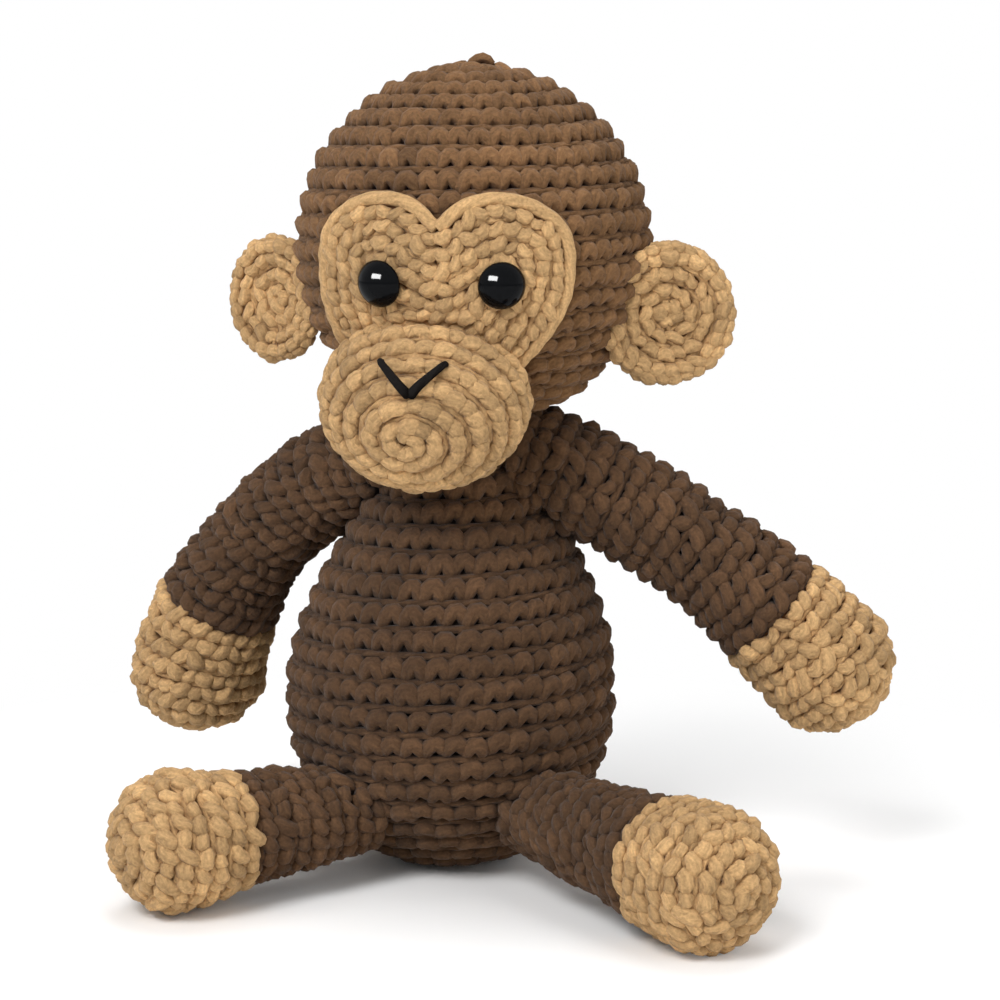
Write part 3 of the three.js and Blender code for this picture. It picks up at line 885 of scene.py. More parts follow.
def add_wrap(mesh: bmesh.types.BMesh, surface: "Form | FacePlane", depth: float, segments: int, rings: int,
             inside: bool = False) -> None:
    """Stretches a ball over a surface, at a depth under its skin.

    Args:
        mesh: The mesh that it is added to.
        surface: The surface, from pole to pole.
        depth: How deep the wrap lies.
        segments: Facets round it.
        rings: Facets from pole to pole.
        inside: Whether it faces inward, as the inner side of a wall.
    """
    verts = bmesh.ops.create_uvsphere(mesh, u_segments=segments, v_segments=rings, radius=1.0)["verts"]
    ball = np.array([vert.co[:] for vert in verts])
    distance = np.arccos(np.clip(ball[:, 2], -1, 1)) / math.pi
    turn = np.arctan2(ball[:, 1], ball[:, 0])
    for vert, place in zip(verts, surface.wrapped(distance, turn, depth)):
        vert.co = place
    faces = list({face for vert in verts for face in vert.link_faces})
    bmesh.ops.recalc_face_normals(mesh, faces=faces)
    if inside:
        bmesh.ops.reverse_faces(mesh, faces=faces)


def ground_wall(surface: Form, segments: int = 40, rings: int = 24,
                plane: tuple[Vector, Vector] | None = None) -> bmesh.types.BMesh:
    """Makes the thin wall under a cover's stitches.

    Args:
        surface: The surface.
        segments: Facets round it.
        rings: Facets from pole to pole.
        plane: Place and direction of a cut, with the part ahead of it left out.

    Returns:
        The closed wall, with its rim joined where it is cut.
    """
    mesh = bmesh.new()
    add_wrap(mesh, surface, GROUND, segments, rings)
    add_wrap(mesh, surface, GROUND + WALL, segments, rings, inside=True)
    if plane:
        everything = mesh.verts[:] + mesh.edges[:] + mesh.faces[:]
        bmesh.ops.bisect_plane(mesh, geom=everything, plane_co=plane[0], plane_no=plane[1],
                               clear_outer=True)
        bmesh.ops.bridge_loops(mesh, edges=[edge for edge in mesh.edges if edge.is_boundary])
    return mesh


def add_piece(name: str, mesh: bpy.types.Mesh, finish: Finish, body: str, *nodes: str) -> bpy.types.Object:
    """Adds a finished mesh to the toy.

    Args:
        name: The piece's name.
        mesh: Its mesh, in place.
        finish: Its finish.
        body: The body it rides on.
        *nodes: The CAD nodes it stands for.

    Returns:
        The piece.
    """
    mesh.name = name
    mesh.polygons.foreach_set("use_smooth", [True] * len(mesh.polygons))
    piece = bpy.data.objects.new(name, mesh)
    bpy.context.scene.collection.objects.link(piece)
    dress(piece, finish)
    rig.ride(piece, body)
    if nodes:
        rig.replaces(piece, *nodes)
    log.info("%s: %d faces on %s", name, len(mesh.polygons), body)
    return piece


def press_flat(mesh: bmesh.types.BMesh, floor: float) -> None:
    """Presses what lies under the floor's height flat."""
    for vert in mesh.verts:
        vert.co.z = max(vert.co.z, floor)


def rest_on_floor(strands: list[Strand]) -> list[Strand]:
    """Presses the yarn flat where it rests on the floor.

    Args:
        strands: The runs of yarn, which are changed.

    Returns:
        The same strands.
    """
    for strand in strands:
        strand.places[:, 2] = np.maximum(strand.places[:, 2], strand.radii)
    return strands


def crochet(name: str, strands: list[Strand], ground: bmesh.types.BMesh, finish: YarnFinish, body: str,
            *nodes: str, fill: float = 0.8) -> None:
    """Makes a crocheted cover: its stitches over a thin ground of yarn, which is painted wholly in the yarn's painted
    shade colour.

    Args:
        name: The piece's name.
        strands: The stitches' yarn.
        ground: The ground's mesh.
        finish: The yarn's finish.
        body: The body it rides on.
        *nodes: The CAD nodes it stands for.
        fill: How tightly it is stuffed.
    """
    press_flat(ground, GROUND_FLOOR)
    skin = finished(ground, name)
    # The ground gets the depth of full painted shade, which stands for shade in the gaps between the stitches
    set_numbers(skin, depth=GROUND_SHADE_DEPTH, shade=0.5, along=0.0)
    skin.uv_layers.new(name="yarn")
    stitches = yarn_mesh(name, strands)
    both = bmesh.new()
    both.from_mesh(stitches)
    both.from_mesh(skin)
    both.to_mesh(stitches)
    both.free()
    bpy.data.meshes.remove(skin)
    piece = add_piece(name, stitches, finish, body, *nodes)
    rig.padded(piece, fill=fill)


def stuffing(name: str, surface: Form, body: str, node: str) -> None:
    """Makes a form's stuffing, a little uneven.

    Args:
        name: The piece's name.
        surface: The form.
        body: The body it rides on.
        node: The CAD node it stands for.
    """
    mesh = bmesh.new()
    add_wrap(mesh, surface, STUFFING_DEPTH, 32, 18)
    press_flat(mesh, STUFFING_FLOOR)
    piece = add_piece(name, finished(mesh, name), STUFFING, body, node)
    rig.padded(piece, fill=0.9)


def yarn_loop(name: str, path: np.ndarray, radius: float, finish: YarnFinish, body: str, *nodes: str,
              taper: float = 1.0) -> None:
    """Makes a plain run of yarn along a path.

    Args:
        name: The piece's name.
        path: The places it follows.
        radius: Its radius.
        finish: Its finish.
        body: The body it rides on.
        *nodes: The CAD nodes it stands for.
        taper: Thickness at its far end, as a share.
    """
    count = len(path)
    strand = Strand(path, np.tile([0.0, 0.0, 1.0], (count, 1)), np.full(count, 0.5 * MM),
                    radius * np.linspace(1.0, taper, count), np.full(count, 0.5))
    add_piece(name, yarn_mesh(name, [strand], resolution=3), finish, body, *nodes)


# Torso and neck


@dataclass
class Torso:
    """The pear-shaped body."""

    radius: float = 33.6 * MM
    widest_at: float = 34.3 * MM
    neck_radius: float = 13 * MM
    neck_height: float = 95 * MM
    neck_slope: float = 1.15
    lean: float = 4.8 * MM
    lean_forward: float = 2 * MM
    seat_cut: float = 1.3 * MM
    top: float = 91.4 * MM
    hollow: float = 2.4 * MM
    seed: int = 11

    def radius_at(self, height: np.ndarray) -> np.ndarray:
        """Radius of the pear.

        Args:
            height: Heights over the floor.

        Returns:
            A radius for each height.
        """
        drop = (self.widest_at - height) / (self.widest_at + self.seat_cut)
        low = self.radius * np.sqrt(np.clip(1 - drop ** 2, 0, 1))
        share = np.clip((height - self.widest_at) / (self.neck_height - self.widest_at), 0, 1)
        wave = 0.5 * (1 + np.cos(math.pi * share ** self.neck_slope))
        high = self.neck_radius + (self.radius - self.neck_radius) * wave
        return np.where(height < self.widest_at, low, high)

    def middle_at(self, height: np.ndarray) -> np.ndarray:
        """Middle of the pear at heights."""
        share = np.maximum(0, (height - self.widest_at) / (self.neck_height - self.widest_at))
        return np.stack([self.lean * share ** 2, -self.lean_forward * share ** 2, height], axis=-1)

    def outside(self, places: np.ndarray) -> np.ndarray:
        """How far places lie outside the pear's side, negative inside."""
        height = np.clip(places[:, 2], 0, self.top)
        return np.hypot(*(places - self.middle_at(height))[:, :2].T) - self.radius_at(height)

    def form(self) -> Form:
        """The torso's form, from its seat to its neck, where it ends in a hollow lid.

        Returns:
            The form.
        """
        share = np.linspace(0, 1, 60)
        height = -self.seat_cut + (self.top + self.seat_cut) * (0.6 * share ** 2 + 0.4 * share)
        middle = self.middle_at(height)
        radius = self.radius_at(height)
        inward = np.linspace(0.8, 0, 4)
        lid = np.repeat(middle[-1:], len(inward), axis=0)
        lid[:, 2] = self.top - self.hollow * (1 - inward ** 2)
        middle = np.concatenate([middle, lid])
        radius = np.concatenate([radius, radius[-1] * inward])
        forward, across, above = (np.tile(axis, (len(radius), 1))
                                  for axis in ([0.0, 0.0, 1.0], [0.0, 1.0, 0.0], [-1.0, 0.0, 0.0]))
        return Form(middle, forward, across, above, radius, radius.copy())

    def build(self) -> None:
        """Builds the torso's cover and stuffing."""
        form = self.form()
        cells = rounds(form, 0.0, form.length - self.neck_radius, True, GAUGE)
        strands = stitch_strands(form, cells, Fabric.RIDGED, Crest.TO_END, self.seed, GAUGE)
        strands = rest_on_floor(strands)
        crochet("torso_crochet", strands, ground_wall(form), BROWN, "torso", "torso_cover")
        stuffing("torso_stuffing", form, "torso", "torso_filling")


# Head


@dataclass
class Head:
    """The head's ball with its crown and the seam at its neck."""

    torso: Torso
    radius: float = 35.7 * MM
    height: float = 125.6 * MM
    turn: float = -12.0
    tilt: float = 0.3
    neck_opening: float = 9.5 * MM
    lump_height: float = 0.5 * MM
    press_in: float = 0.5 * MM
    seed: int = 23
    crown_yarn: float = 1.25 * MM
    seam_yarn: float = 1.0 * MM
    seam_ring: float = 1.2 * MM
    seam_below: float = 1.3 * MM
    seam_whips: int = 26

    def middle(self) -> Vector:
        """Middle of the head."""
        top = self.torso.middle_at(np.array(self.torso.neck_height))
        return Vector((float(top[0]), float(top[1]), self.height))

    def place(self) -> Matrix:
        """The head's own frame: -Y is where the face looks."""
        return Matrix.Translation(self.middle()) @ (turned(self.turn, "Z") @ turned(self.tilt, "Y"))

    def form(self) -> Form:
        """The head's ball, from the crown down.

        Returns:
            The form.
        """
        polar = np.linspace(0, math.pi, 60)
        return straight_form(self.radius * np.cos(polar), self.radius * np.sin(polar), self.place(),
                             self.lump_height)

    def uncovered(self, form: Form, cells: Cells) -> Cells:
        """The cells of a form on the head that don't lie deep inside the head's ball.

        Args:
            form: The form.
            cells: Its cells.

        Returns:
            The cells left.
        """
        spots = form.at(cells.middle[:, 0], cells.middle[:, 1])
        away = np.linalg.norm(spots - np.array(self.middle()), axis=1)
        return cells.kept(away > self.radius - self.press_in)

    def build(self) -> None:
        """Builds the head's cover, stuffing, crown and neck seam."""
        form = self.form()
        cells = rounds(form, 0.0, form.length - self.neck_opening, True, HEAD_GAUGE)
        strands = stitch_strands(form, cells, Fabric.RIDGED, Crest.TO_START, self.seed, HEAD_GAUGE)
        crochet("head_crochet", strands, ground_wall(form), HEAD_BROWN, "head", "head_cover")
        stuffing("head_stuffing", form, "head", "head_filling")
        self.build_crown_end()
        self.build_neck_seam()

    def build_crown_end(self) -> None:
        """Builds the fastened-off yarn end on the crown."""
        spot = np.array([[-0.9, 0.4, -1.0], [-0.2, 0.2, 0.1], [0.8, -0.2, 0.8], [1.8, -0.4, 1.1],
                         [2.8, -0.3, 0.7], [3.4, 0.1, -0.2]]) * MM
        path = np.array([self.place() @ Vector((x, y, z + self.radius)) for x, y, z in spot])
        yarn_loop("crown_yarn", path, self.crown_yarn, HEAD_BROWN, "head", "crown_yarn_end", taper=0.7)

    def build_neck_seam(self) -> None:
        """Builds the whip stitches that sew the head on."""
        ring = self.torso.neck_radius + self.seam_ring
        level = self.height - math.sqrt(self.radius ** 2 - ring ** 2) - self.seam_below
        whip = np.arange(self.seam_whips * 4) / 4
        turn = FULL_TURN * whip / self.seam_whips
        swing = np.sin(FULL_TURN * whip)
        reach = ring + 0.35 * MM * swing
        middle = self.middle()
        path = np.stack([middle.x + reach * np.cos(turn), middle.y + reach * np.sin(turn),
                         level + 0.5 * MM * swing], axis=1)
        yarn_loop("neck_whip_stitches", path, self.seam_yarn, BROWN, "neck", "neck_seam")


@dataclass
class FacePlane:
    """The head's front skin, read by two distances from the middle of the face along the skin."""

    head: Head
    thickness: float = FABRIC
    middle: tuple[float, float] = (0.9 * MM, -7.5 * MM)
    half_width: float = 25.1 * MM
    top: float = 12 * MM
    widest_at: float = -4 * MM
    brow_dip: float = 6.6 * MM
    bottom: float = -26 * MM
    bottom_half_width: float = 13.5 * MM
    drift: float = -3.5 * MM
    aside: float = 1.2 * MM
    rim_inset: float = 1.364 * MM
    rim_width: float = 2.2 * MM
    rim_yarn: float = 1.4 * MM
    rim_points: int = 220
    seed: int = 31

    def __post_init__(self) -> None:
        """Unrolls the heart's outline from the head's front onto the plane."""
        self.radius = self.head.radius + CLEARANCE + self.thickness
        place = self.head.place()
        self.turn = np.array(place.to_3x3())
        self.shift = np.array(place.translation)
        self.outline = self.unroll(self.heart())

    def heart(self) -> np.ndarray:
        """The heart's outline as seen from the front.

        Returns:
            Its places in order, closed, starting at the brow dip.
        """
        wide, top, widest, low = self.half_width, self.top, self.widest_at, self.bottom_half_width
        fall = self.bottom - widest
        corner = (0.77 * wide, 0.82 * top)
        curves = [
            [(0, self.brow_dip), (0.16 * wide, 1.09 * top), (0.53 * wide, 1.13 * top), corner],
            [corner, (0.96 * wide, 0.57 * top), (1.02 * wide, 0.3 * top), (wide, widest)],
            [(wide, widest), (wide, widest + 0.36 * fall), (0.79 * wide, widest + 0.73 * fall),
             (low, self.bottom)],
        ]
        share = np.linspace(0, 1, 24)[:-1, None]
        rest = 1 - share
        right = np.concatenate([
            rest ** 3 * start + 3 * rest ** 2 * share * leave + 3 * rest * share ** 2 * arrive
            + share ** 3 * end
            for start, leave, arrive, end in np.array(curves)])
        base = np.stack([np.linspace(low, -low, 12), np.full(12, self.bottom)], axis=1)
        left = right[:0:-1] * [-1, 1]
        whole = np.concatenate([right, base, left])
        whole[:, 0] += self.aside + self.drift * (np.minimum(0, whole[:, 1]) / self.bottom) ** 2
        return whole

    def unroll(self, flat: np.ndarray) -> np.ndarray:
        """Turns places seen from the front into distances along the skin.

        Args:
            flat: Places, one a row.

        Returns:
            The distances, aside and above.
        """
        away = np.hypot(flat[:, 0], flat[:, 1])
        angle = np.arcsin(np.clip(away / self.radius, 0, 0.97))
        return flat * (self.radius * angle / np.maximum(away, 1e-9))[:, None]

    def normal(self, aside: np.ndarray, above: np.ndarray) -> np.ndarray:
        """Outward direction at distances along the skin.

        Args:
            aside: Sideways distances.
            above: Upward distances.

        Returns:
            Unit vectors.
        """
        away = np.hypot(aside, above)
        angle = away / self.radius
        scale = np.sin(angle) / np.maximum(away, 1e-9)
        facing = np.stack([aside * scale, -np.cos(angle), above * scale], axis=-1)
        return facing @ self.turn.T

    def at(self, aside: np.ndarray, above: np.ndarray) -> np.ndarray:
        """Places on the skin at distances along it."""
        return self.normal(aside, above) * self.radius + self.shift

    def wrapped(self, share: np.ndarray, turn: np.ndarray, depth: float) -> np.ndarray:
        """Places round the patch's ground: its front, its rim and its back.

        Args:
            share: Shares of the way from the front's middle to the back's, 0 to 1.
            turn: Turns about the middle.
            depth: Depth of the front under the skin.

        Returns:
            The places.
        """
        centre = self.unroll(np.array([self.middle]))[0]
        bearing = np.arctan2(self.outline[:, 1] - centre[1], self.outline[:, 0] - centre[0])
        reach = np.hypot(*(self.outline - centre).T)
        order = np.argsort(bearing)
        edge = np.interp(turn, bearing[order], reach[order], period=FULL_TURN)
        out = np.minimum(1, 1.02 * np.sin(math.pi * share)) * (edge - 0.9 * MM)
        aside = centre[0] + out * np.cos(turn)
        above = centre[1] + out * np.sin(turn)
        back = self.thickness - 0.2 * MM
        level = np.where(share < 0.5, depth, back)
        level = np.where(np.abs(share - 0.5) < 0.06, (depth + back) / 2, level)
        return self.at(aside, above) - self.normal(aside, above) * level[..., None]

    def inset(self, distance: float) -> np.ndarray:
        """The outline drawn in by a distance, without the parts that cross it.

        Args:
            distance: How far it is drawn in.

        Returns:
            The places left, in order.
        """
        ahead = unit(np.roll(self.outline, -1, axis=0) - np.roll(self.outline, 1, axis=0))
        moved = self.outline + np.stack([ahead[:, 1], -ahead[:, 0]], axis=1) * distance
        nearest = np.linalg.norm(moved[:, None] - self.outline[None], axis=2).min(axis=1)
        return moved[nearest > 0.97 * distance]

    def cells(self) -> Cells:
        """Rows of stitches that follow the heart's outline, until no row fits inside.

        Returns:
            The cells.
        """
        rows = []
        inward = self.rim_width + 0.5 * FINE_GAUGE.height
        while len(path := self.inset(inward)) >= 8:
            loop = np.concatenate([path, path[:1]])
            along = run_length(loop)
            stitches = round(along[-1] / FINE_GAUGE.width)
            if stitches < 4:
                break
            spot = (np.arange(stitches) + 0.5) * along[-1] / stitches
            middle = np.stack([np.interp(spot, along, loop[:, axis]) for axis in (0, 1)], axis=1)
            step = unit(np.roll(middle, -1, axis=0) - np.roll(middle, 1, axis=0))
            outward = np.stack([-step[:, 1], step[:, 0]], axis=1)
            rows.append((middle, step * along[-1] / stitches, outward * FINE_GAUGE.height))
            inward += FINE_GAUGE.height
        return Cells.joined(rows)

    def build(self) -> None:
        """Builds the face patch: rows of stitches inside a rim of one plain run of yarn."""
        strands = stitch_strands(self, self.cells(), Fabric.LUMPY, Crest.TO_START, self.seed, FINE_GAUGE)
        strands.append(self.rim_strand())
        ground = bmesh.new()
        add_wrap(ground, self, GROUND - 0.6 * MM, 64, 20)
        crochet("face_patch_crochet", strands, ground, TAN, "head", "face_patch", fill=0.2)

    def rim_strand(self) -> Strand:
        """The run of yarn that follows the outline.

        Returns:
            The strand.
        """
        path = self.inset(self.rim_inset)
        path = np.concatenate([path, path[:1]])
        along = run_length(path)
        spot = np.linspace(0, along[-1], self.rim_points)
        aside, above = (np.interp(spot, along, path[:, axis]) for axis in (0, 1))
        normals = self.normal(aside, above)
        depth = self.rim_yarn - OUTWARD + 0.12 * MM * np.sin(spot / (0.7 * MM))
        return Strand(self.at(aside, above) - normals * depth[:, None], normals, depth,
                      np.full(self.rim_points, self.rim_yarn), np.full(self.rim_points, 0.6))


@dataclass
class Muzzle:
    """The stuffed dome of the mouth, with the nose embroidered on it."""

    head: Head
    half_width: float = 20.3 * MM
    half_height: float = 17 * MM
    depth: float = 17 * MM
    aside: float = -2.7 * MM
    forward: float = 30 * MM
    below: float = 28.2 * MM
    pitch: float = 22.0
    drawn_in: float = 0.7 * MM
    covered: float = 0.78
    lump_height: float = 0.3 * MM
    seed: int = 41
    nose_yarn: float = 1.0 * MM
    nose_width: float = 16 * MM
    nose_height: float = 8 * MM
    nose_above: float = 3.4 * MM
    nose_aside: float = 0.9 * MM
    nose_top_aside: float = 1.4 * MM

    def form(self) -> Form:
        """The dome, from its front pole back.

        Returns:
            The form.
        """
        middle = Matrix.Translation((self.aside, -self.forward, -self.below))
        place = self.head.place() @ middle @ turned(self.pitch, "X") @ turned(90, "X")
        polar = np.linspace(0, math.pi, 50)
        return straight_form(self.depth * np.cos(polar), self.half_height * np.sin(polar), place,
                             self.lump_height, self.half_width / self.half_height)

    def build(self) -> None:
        """Builds the muzzle's cover, its stuffing and the nose."""
        form = self.form()
        cells = rounds(form, -self.drawn_in, form.length * self.covered, True, MUZZLE_GAUGE)
        cells = self.head.uncovered(form, cells)
        strands = stitch_strands(form, cells, Fabric.SMOOTH, Crest.TO_END, self.seed, MUZZLE_GAUGE)
        crochet("muzzle_crochet", strands, ground_wall(form), TAN, "head", "muzzle_cover")
        stuffing("muzzle_stuffing", form, "head", "muzzle_filling")
        for side in Side:
            self.build_nose_stitch(side)

    def on_front(self, aside: float, above: float, lift: float) -> np.ndarray:
        """A place over the dome, as seen from its front.

        Args:
            aside: Sideways distance from its middle.
            above: Distance above its middle.
            lift: Height over the skin.

        Returns:
            The place in the toy's frame.
        """
        tilt = turned(self.pitch, "X").to_3x3()
        ray = tilt.inverted() @ Vector((aside, -self.depth, above))
        stretch = Vector((ray.x / self.half_width, ray.y / self.depth, ray.z / self.half_height)).length
        spot = tilt @ (ray * ((1 + lift / self.half_height) / stretch))
        return np.array(self.head.place() @ (spot + Vector((self.aside, -self.forward, -self.below))))

    def build_nose_stitch(self, side: Side) -> None:
        """Builds one of the two long stitches of the nose, which dives into the fabric at both ends.

        Args:
            side: Which of the two.
        """
        low = self.nose_aside + side.value * 0.35 * MM
        high = self.nose_top_aside + side.value * self.nose_width / 2
        path = []
        for part in np.linspace(0, 1, 12):
            lift = 1.1 * MM - 1.8 * MM * max(0.0, abs(2 * part - 1) - 0.75) * 4
            above = self.nose_above + self.nose_height * part
            path.append(self.on_front(low + (high - low) * part, above, lift))
        yarn_loop(f"nose_{side.label}", np.array(path), self.nose_yarn, BLACK_YARN, "head",
                  f"nose_stitch_{side.label}", taper=0.6)


@dataclass
class Eyes:
    """Two black safety eyes with their washers."""

    head: Head
    radius: float = 4.5 * MM
    height: float = 3.4 * MM
    edge: float = 0.45 * MM
    spacing: float = 21.1 * MM
    aside: float = 1.65 * MM
    below: float = 4.8 * MM
    stem: float = 1.4 * MM
    stem_length: float = 8 * MM
    dome_steps: int = 14

    def facing(self, side: Side) -> Vector:
        """Direction of an eye from the head's middle, in the head's frame.

        Args:
            side: Which eye.

        Returns:
            The direction.
        """
        aside = self.aside + side.value * self.spacing / 2
        forward = math.sqrt(self.head.radius ** 2 - aside ** 2 - self.below ** 2)
        return Vector((aside, -forward, -self.below)).normalized()

    def profile(self) -> list[tuple[float, float]]:
        """The eye's half section: stem, back, rounded edge and dome.

        Returns:
            Radii and heights over the fabric.
        """
        points = [(0.0, -self.stem_length), (self.stem, -self.stem_length), (self.stem, 0.0),
                  (self.radius - self.edge, 0.0), (self.radius, self.edge)]
        bulge = (self.radius ** 2 + (self.height - self.edge) ** 2) / (2 * (self.height - self.edge))
        widest = math.asin(self.radius / bulge)
        for step in range(1, self.dome_steps + 1):
            angle = widest * (1 - step / self.dome_steps)
            rise = bulge * math.cos(angle) - bulge * math.cos(widest)
            points.append((bulge * math.sin(angle), self.edge + rise))
        return points

    def build(self) -> None:
        """Builds both eyes and dresses their washers."""
        for side in Side:
            self.build_eye(side)
            dress(frame["nodes"][f"eye_washer_{side.label}"], CLEAR_PLASTIC)

    def build_eye(self, side: Side) -> None:
        """Builds one eye by spinning its profile.

        Args:
            side: Which eye.
        """
        seat = self.head.radius + 2 * CLEARANCE + FABRIC
        mesh = bmesh.new()
        verts = [mesh.verts.new((radius, 0.0, height + seat)) for radius, height in self.profile()]
        edges = [mesh.edges.new(pair) for pair in zip(verts[:-1], verts[1:])]
        bmesh.ops.spin(mesh, geom=verts + edges, cent=(0, 0, 0), axis=(0, 0, 1), angle=FULL_TURN, steps=40,
                       use_merge=True)
        bmesh.ops.remove_doubles(mesh, verts=mesh.verts, dist=1e-6)
        bmesh.ops.recalc_face_normals(mesh, faces=mesh.faces)
        aim = self.facing(side).to_track_quat("Z", "Y").to_matrix().to_4x4()
        bmesh.ops.transform(mesh, matrix=self.head.place() @ aim, verts=mesh.verts)
        eye = f"eye_{side.label}"
        add_piece(f"{eye}_dome", finished(mesh, eye), BLACK_PLASTIC, "head", eye)


@dataclass
class Ears:
    """Two cupped discs of crochet."""

    head: Head
    radius: float = 13.5 * MM
    uneven: float = 0.7 * MM
    thickness: float = 5.2 * MM
    aside: float = 39.6 * MM
    forward: float = 3.5 * MM
    below: float = 11.8 * MM
    turn: float = 28.0
    lump_height: float = 0.25 * MM
    seed: int = 51

    def place(self, side: Side) -> Matrix:
        """An ear's own frame, with Z out of its back.

        Args:
            side: Which ear.

        Returns:
            The frame.
        """
        below = self.below + side.value * self.uneven
        middle = Matrix.Translation((side.value * self.aside, -self.forward, -below))
        return self.head.place() @ middle @ turned(side.value * self.turn, "Z") @ turned(-90, "X")

    def form(self, side: Side) -> Form:
        """The disc, from its hollow front over the rim to its back.

        Args:
            side: Which ear.

        Returns:
            The form.
        """
        rim = self.thickness / 2
        cup = 0.35 * self.thickness
        reach = self.radius + side.value * self.uneven
        front = np.linspace(0, 1, 20)
        back = front[::-1]
        round_rim = np.linspace(-math.pi / 2, math.pi / 2, 14)[1:-1]
        height = np.concatenate([-rim + cup * (1 - front ** 2), rim * np.sin(round_rim),
                                 rim + cup * (1 - back ** 2)])
        radius = np.concatenate([(reach - rim) * front, reach - rim + rim * np.cos(round_rim),
                                 (reach - rim) * back])
        return straight_form(height, radius, self.place(side), self.lump_height)

    def build(self) -> None:
        """Builds both ears."""
        for side in Side:
            ear = f"ear_{side.label}"
            form = self.form(side)
            cells = self.head.uncovered(form, rounds(form, 0.0, form.length, False, FINE_GAUGE))
            strands = stitch_strands(form, cells, Fabric.LUMPY, Crest.TO_START, self.seed + side.value,
                                     FINE_GAUGE)
            crochet(f"{ear}_crochet", strands, ground_wall(form), TAN, "head", ear, fill=0.3)


# Limbs


def smoothstep(value: np.ndarray, low: float, high: float) -> np.ndarray:
    """Eases from 0 at low to 1 at high."""
    share = np.clip((value - low) / (high - low), 0, 1)
    return share * share * (3 - 2 * share)


@dataclass
class Limb:
    """A stuffed limb that starts at its pivot: brown cover, tan end, stuffing and hidden seam."""

    torso: Torso
    side: Side
    kind: str
    end: str
    seam: str
    pivot: Vector
    seam_facing: Vector
    line: Callable[[np.ndarray], tuple[np.ndarray, np.ndarray]]
    reach: float
    root_radius: float
    mid_radius: float
    end_radius: float
    end_length: float
    seed: int
    end_roundness: float = 0.88
    waist_at: float = 0.45
    root_length: float = 0.75
    press_in: float = 1.0 * MM
    seam_radius: float = 4.6 * MM
    seam_lift: float = 1.7 * MM
    seam_yarn: float = 0.62 * MM

    def radius_at(self, along: np.ndarray) -> np.ndarray:
        """Radius of the limb.

        Args:
            along: Distances along the centre line.

        Returns:
            A radius for each distance.
        """
        shoulder = smoothstep(along, 0, self.reach * self.waist_at)
        wrist = smoothstep(along, self.reach * self.waist_at, self.reach)
        full = (self.root_radius + (self.mid_radius - self.root_radius) * shoulder
                + (self.end_radius - self.mid_radius) * wrist)
        past_root = np.clip(-along / (0.95 * self.root_radius), 0, 1)
        past_end = np.clip((along - self.reach) / (self.end_radius * self.end_roundness), 0, 1)
        return full * np.sqrt(1 - np.maximum(past_root, past_end) ** 2)

    def form(self) -> Form:
        """The limb's form, from its tip to its root.

        Returns:
            The form. Its turn starts under the limb, where a round's joins are hidden.
        """
        tip = self.reach + self.end_radius * self.end_roundness
        root = -self.root_length * self.root_radius
        cap = self.reach + (tip - self.reach) * np.sin(np.linspace(math.pi / 2, 0, 16))
        along = np.concatenate([cap, np.linspace(self.reach, root, 50)[1:]])
        middle, forward = self.line(along)
        across = unit(np.cross(forward, [0.0, 0.0, 1.0]))
        above = np.cross(across, forward)
        radius = self.radius_at(along)
        radius = np.concatenate([radius, radius[-1] * np.linspace(0.6, 0, 3)])
        middle, forward, across, above = (np.concatenate([rows, np.repeat(rows[-1:], 3, axis=0)])
                                          for rows in (middle, forward, across, above))
        return Form(middle, -forward, -above, across, radius, radius.copy(), Matrix.Translation(self.pivot))

    def colour_change(self, form: Form) -> float:
        """Distance along the skin from the tip to the change of colour.

        Args:
            form: The limb's form.

        Returns:
            The distance.
        """
        start = self.reach + self.end_radius * self.end_roundness - self.end_length
        middle, _ = self.line(np.array([start]))
        spot = middle[0] + np.array(self.pivot)
        rings = form.middle @ form.turn.T + form.shift
        return float(form.along[np.argmin(np.linalg.norm(rings - spot, axis=1))])

    def build(self) -> None:
        """Builds the limb's covers, stuffing and seam."""
        form = self.form()
        change = self.colour_change(form)
        label = self.side.label
        body = f"{label}_{self.kind}"
        end_rows = rounds(form, 0.0, change, False, LUMP_GAUGE)
        sleeve_rows = rounds(form, change, form.length - self.root_radius * 0.6, False, LUMP_GAUGE)
        spots = form.at(sleeve_rows.middle[:, 0], sleeve_rows.middle[:, 1])
        sleeve_rows = sleeve_rows.kept(self.torso.outside(spots) > -self.press_in)
        covers = ((self.end, end_rows, TAN, 1), (self.kind, sleeve_rows, BROWN, -1))
        for seed, (cover, rows, finish, ahead) in enumerate(covers, self.seed):
            strands = stitch_strands(form, rows, Fabric.LUMPY, Crest.TO_START, seed, LUMP_GAUGE)
            ground = self.part_ground(form, change, ahead)
            crochet(f"{cover}_{label}_crochet", rest_on_floor(strands), ground, finish, body,
                    f"{cover}_{label}")
        stuffing(f"{self.kind}_{label}_stuffing", form, body, f"{self.kind}_filling_{label}")
        self.build_seam(label)

    def part_ground(self, form: Form, change: float, ahead: int) -> bmesh.types.BMesh:
        """The ground of one colour, cut from the whole limb's.

        Args:
            form: The limb's form.
            change: Distance along the skin at which the colour changes.
            ahead: 1 to leave out what lies past the change, -1 what lies before it.

        Returns:
            The mesh.
        """
        distance = np.array([change])
        centre = Vector(form.read(form.middle, distance)[0] @ form.turn.T + form.shift)
        facing = Vector(form.read(form.forward, distance)[0] @ form.turn.T) * ahead
        return ground_wall(form, 32, 30, (centre, facing))

    def build_seam(self, label: str) -> None:
        """Builds the hidden ring of sewing yarn at the root.

        Args:
            label: The side's name.
        """
        turn = np.linspace(0, FULL_TURN, 33)[:-1]
        aim = self.seam_facing.to_track_quat("Z", "Y").to_matrix()
        radius = self.seam_radius
        ring = [self.pivot + aim @ Vector((radius * math.cos(a), radius * math.sin(a), self.seam_lift))
                for a in turn]
        yarn_loop(f"{self.seam}_{label}_stitches", np.array(ring), self.seam_yarn, BROWN,
                  f"{label}_{self.seam}", f"{self.seam}_seam_{label}")


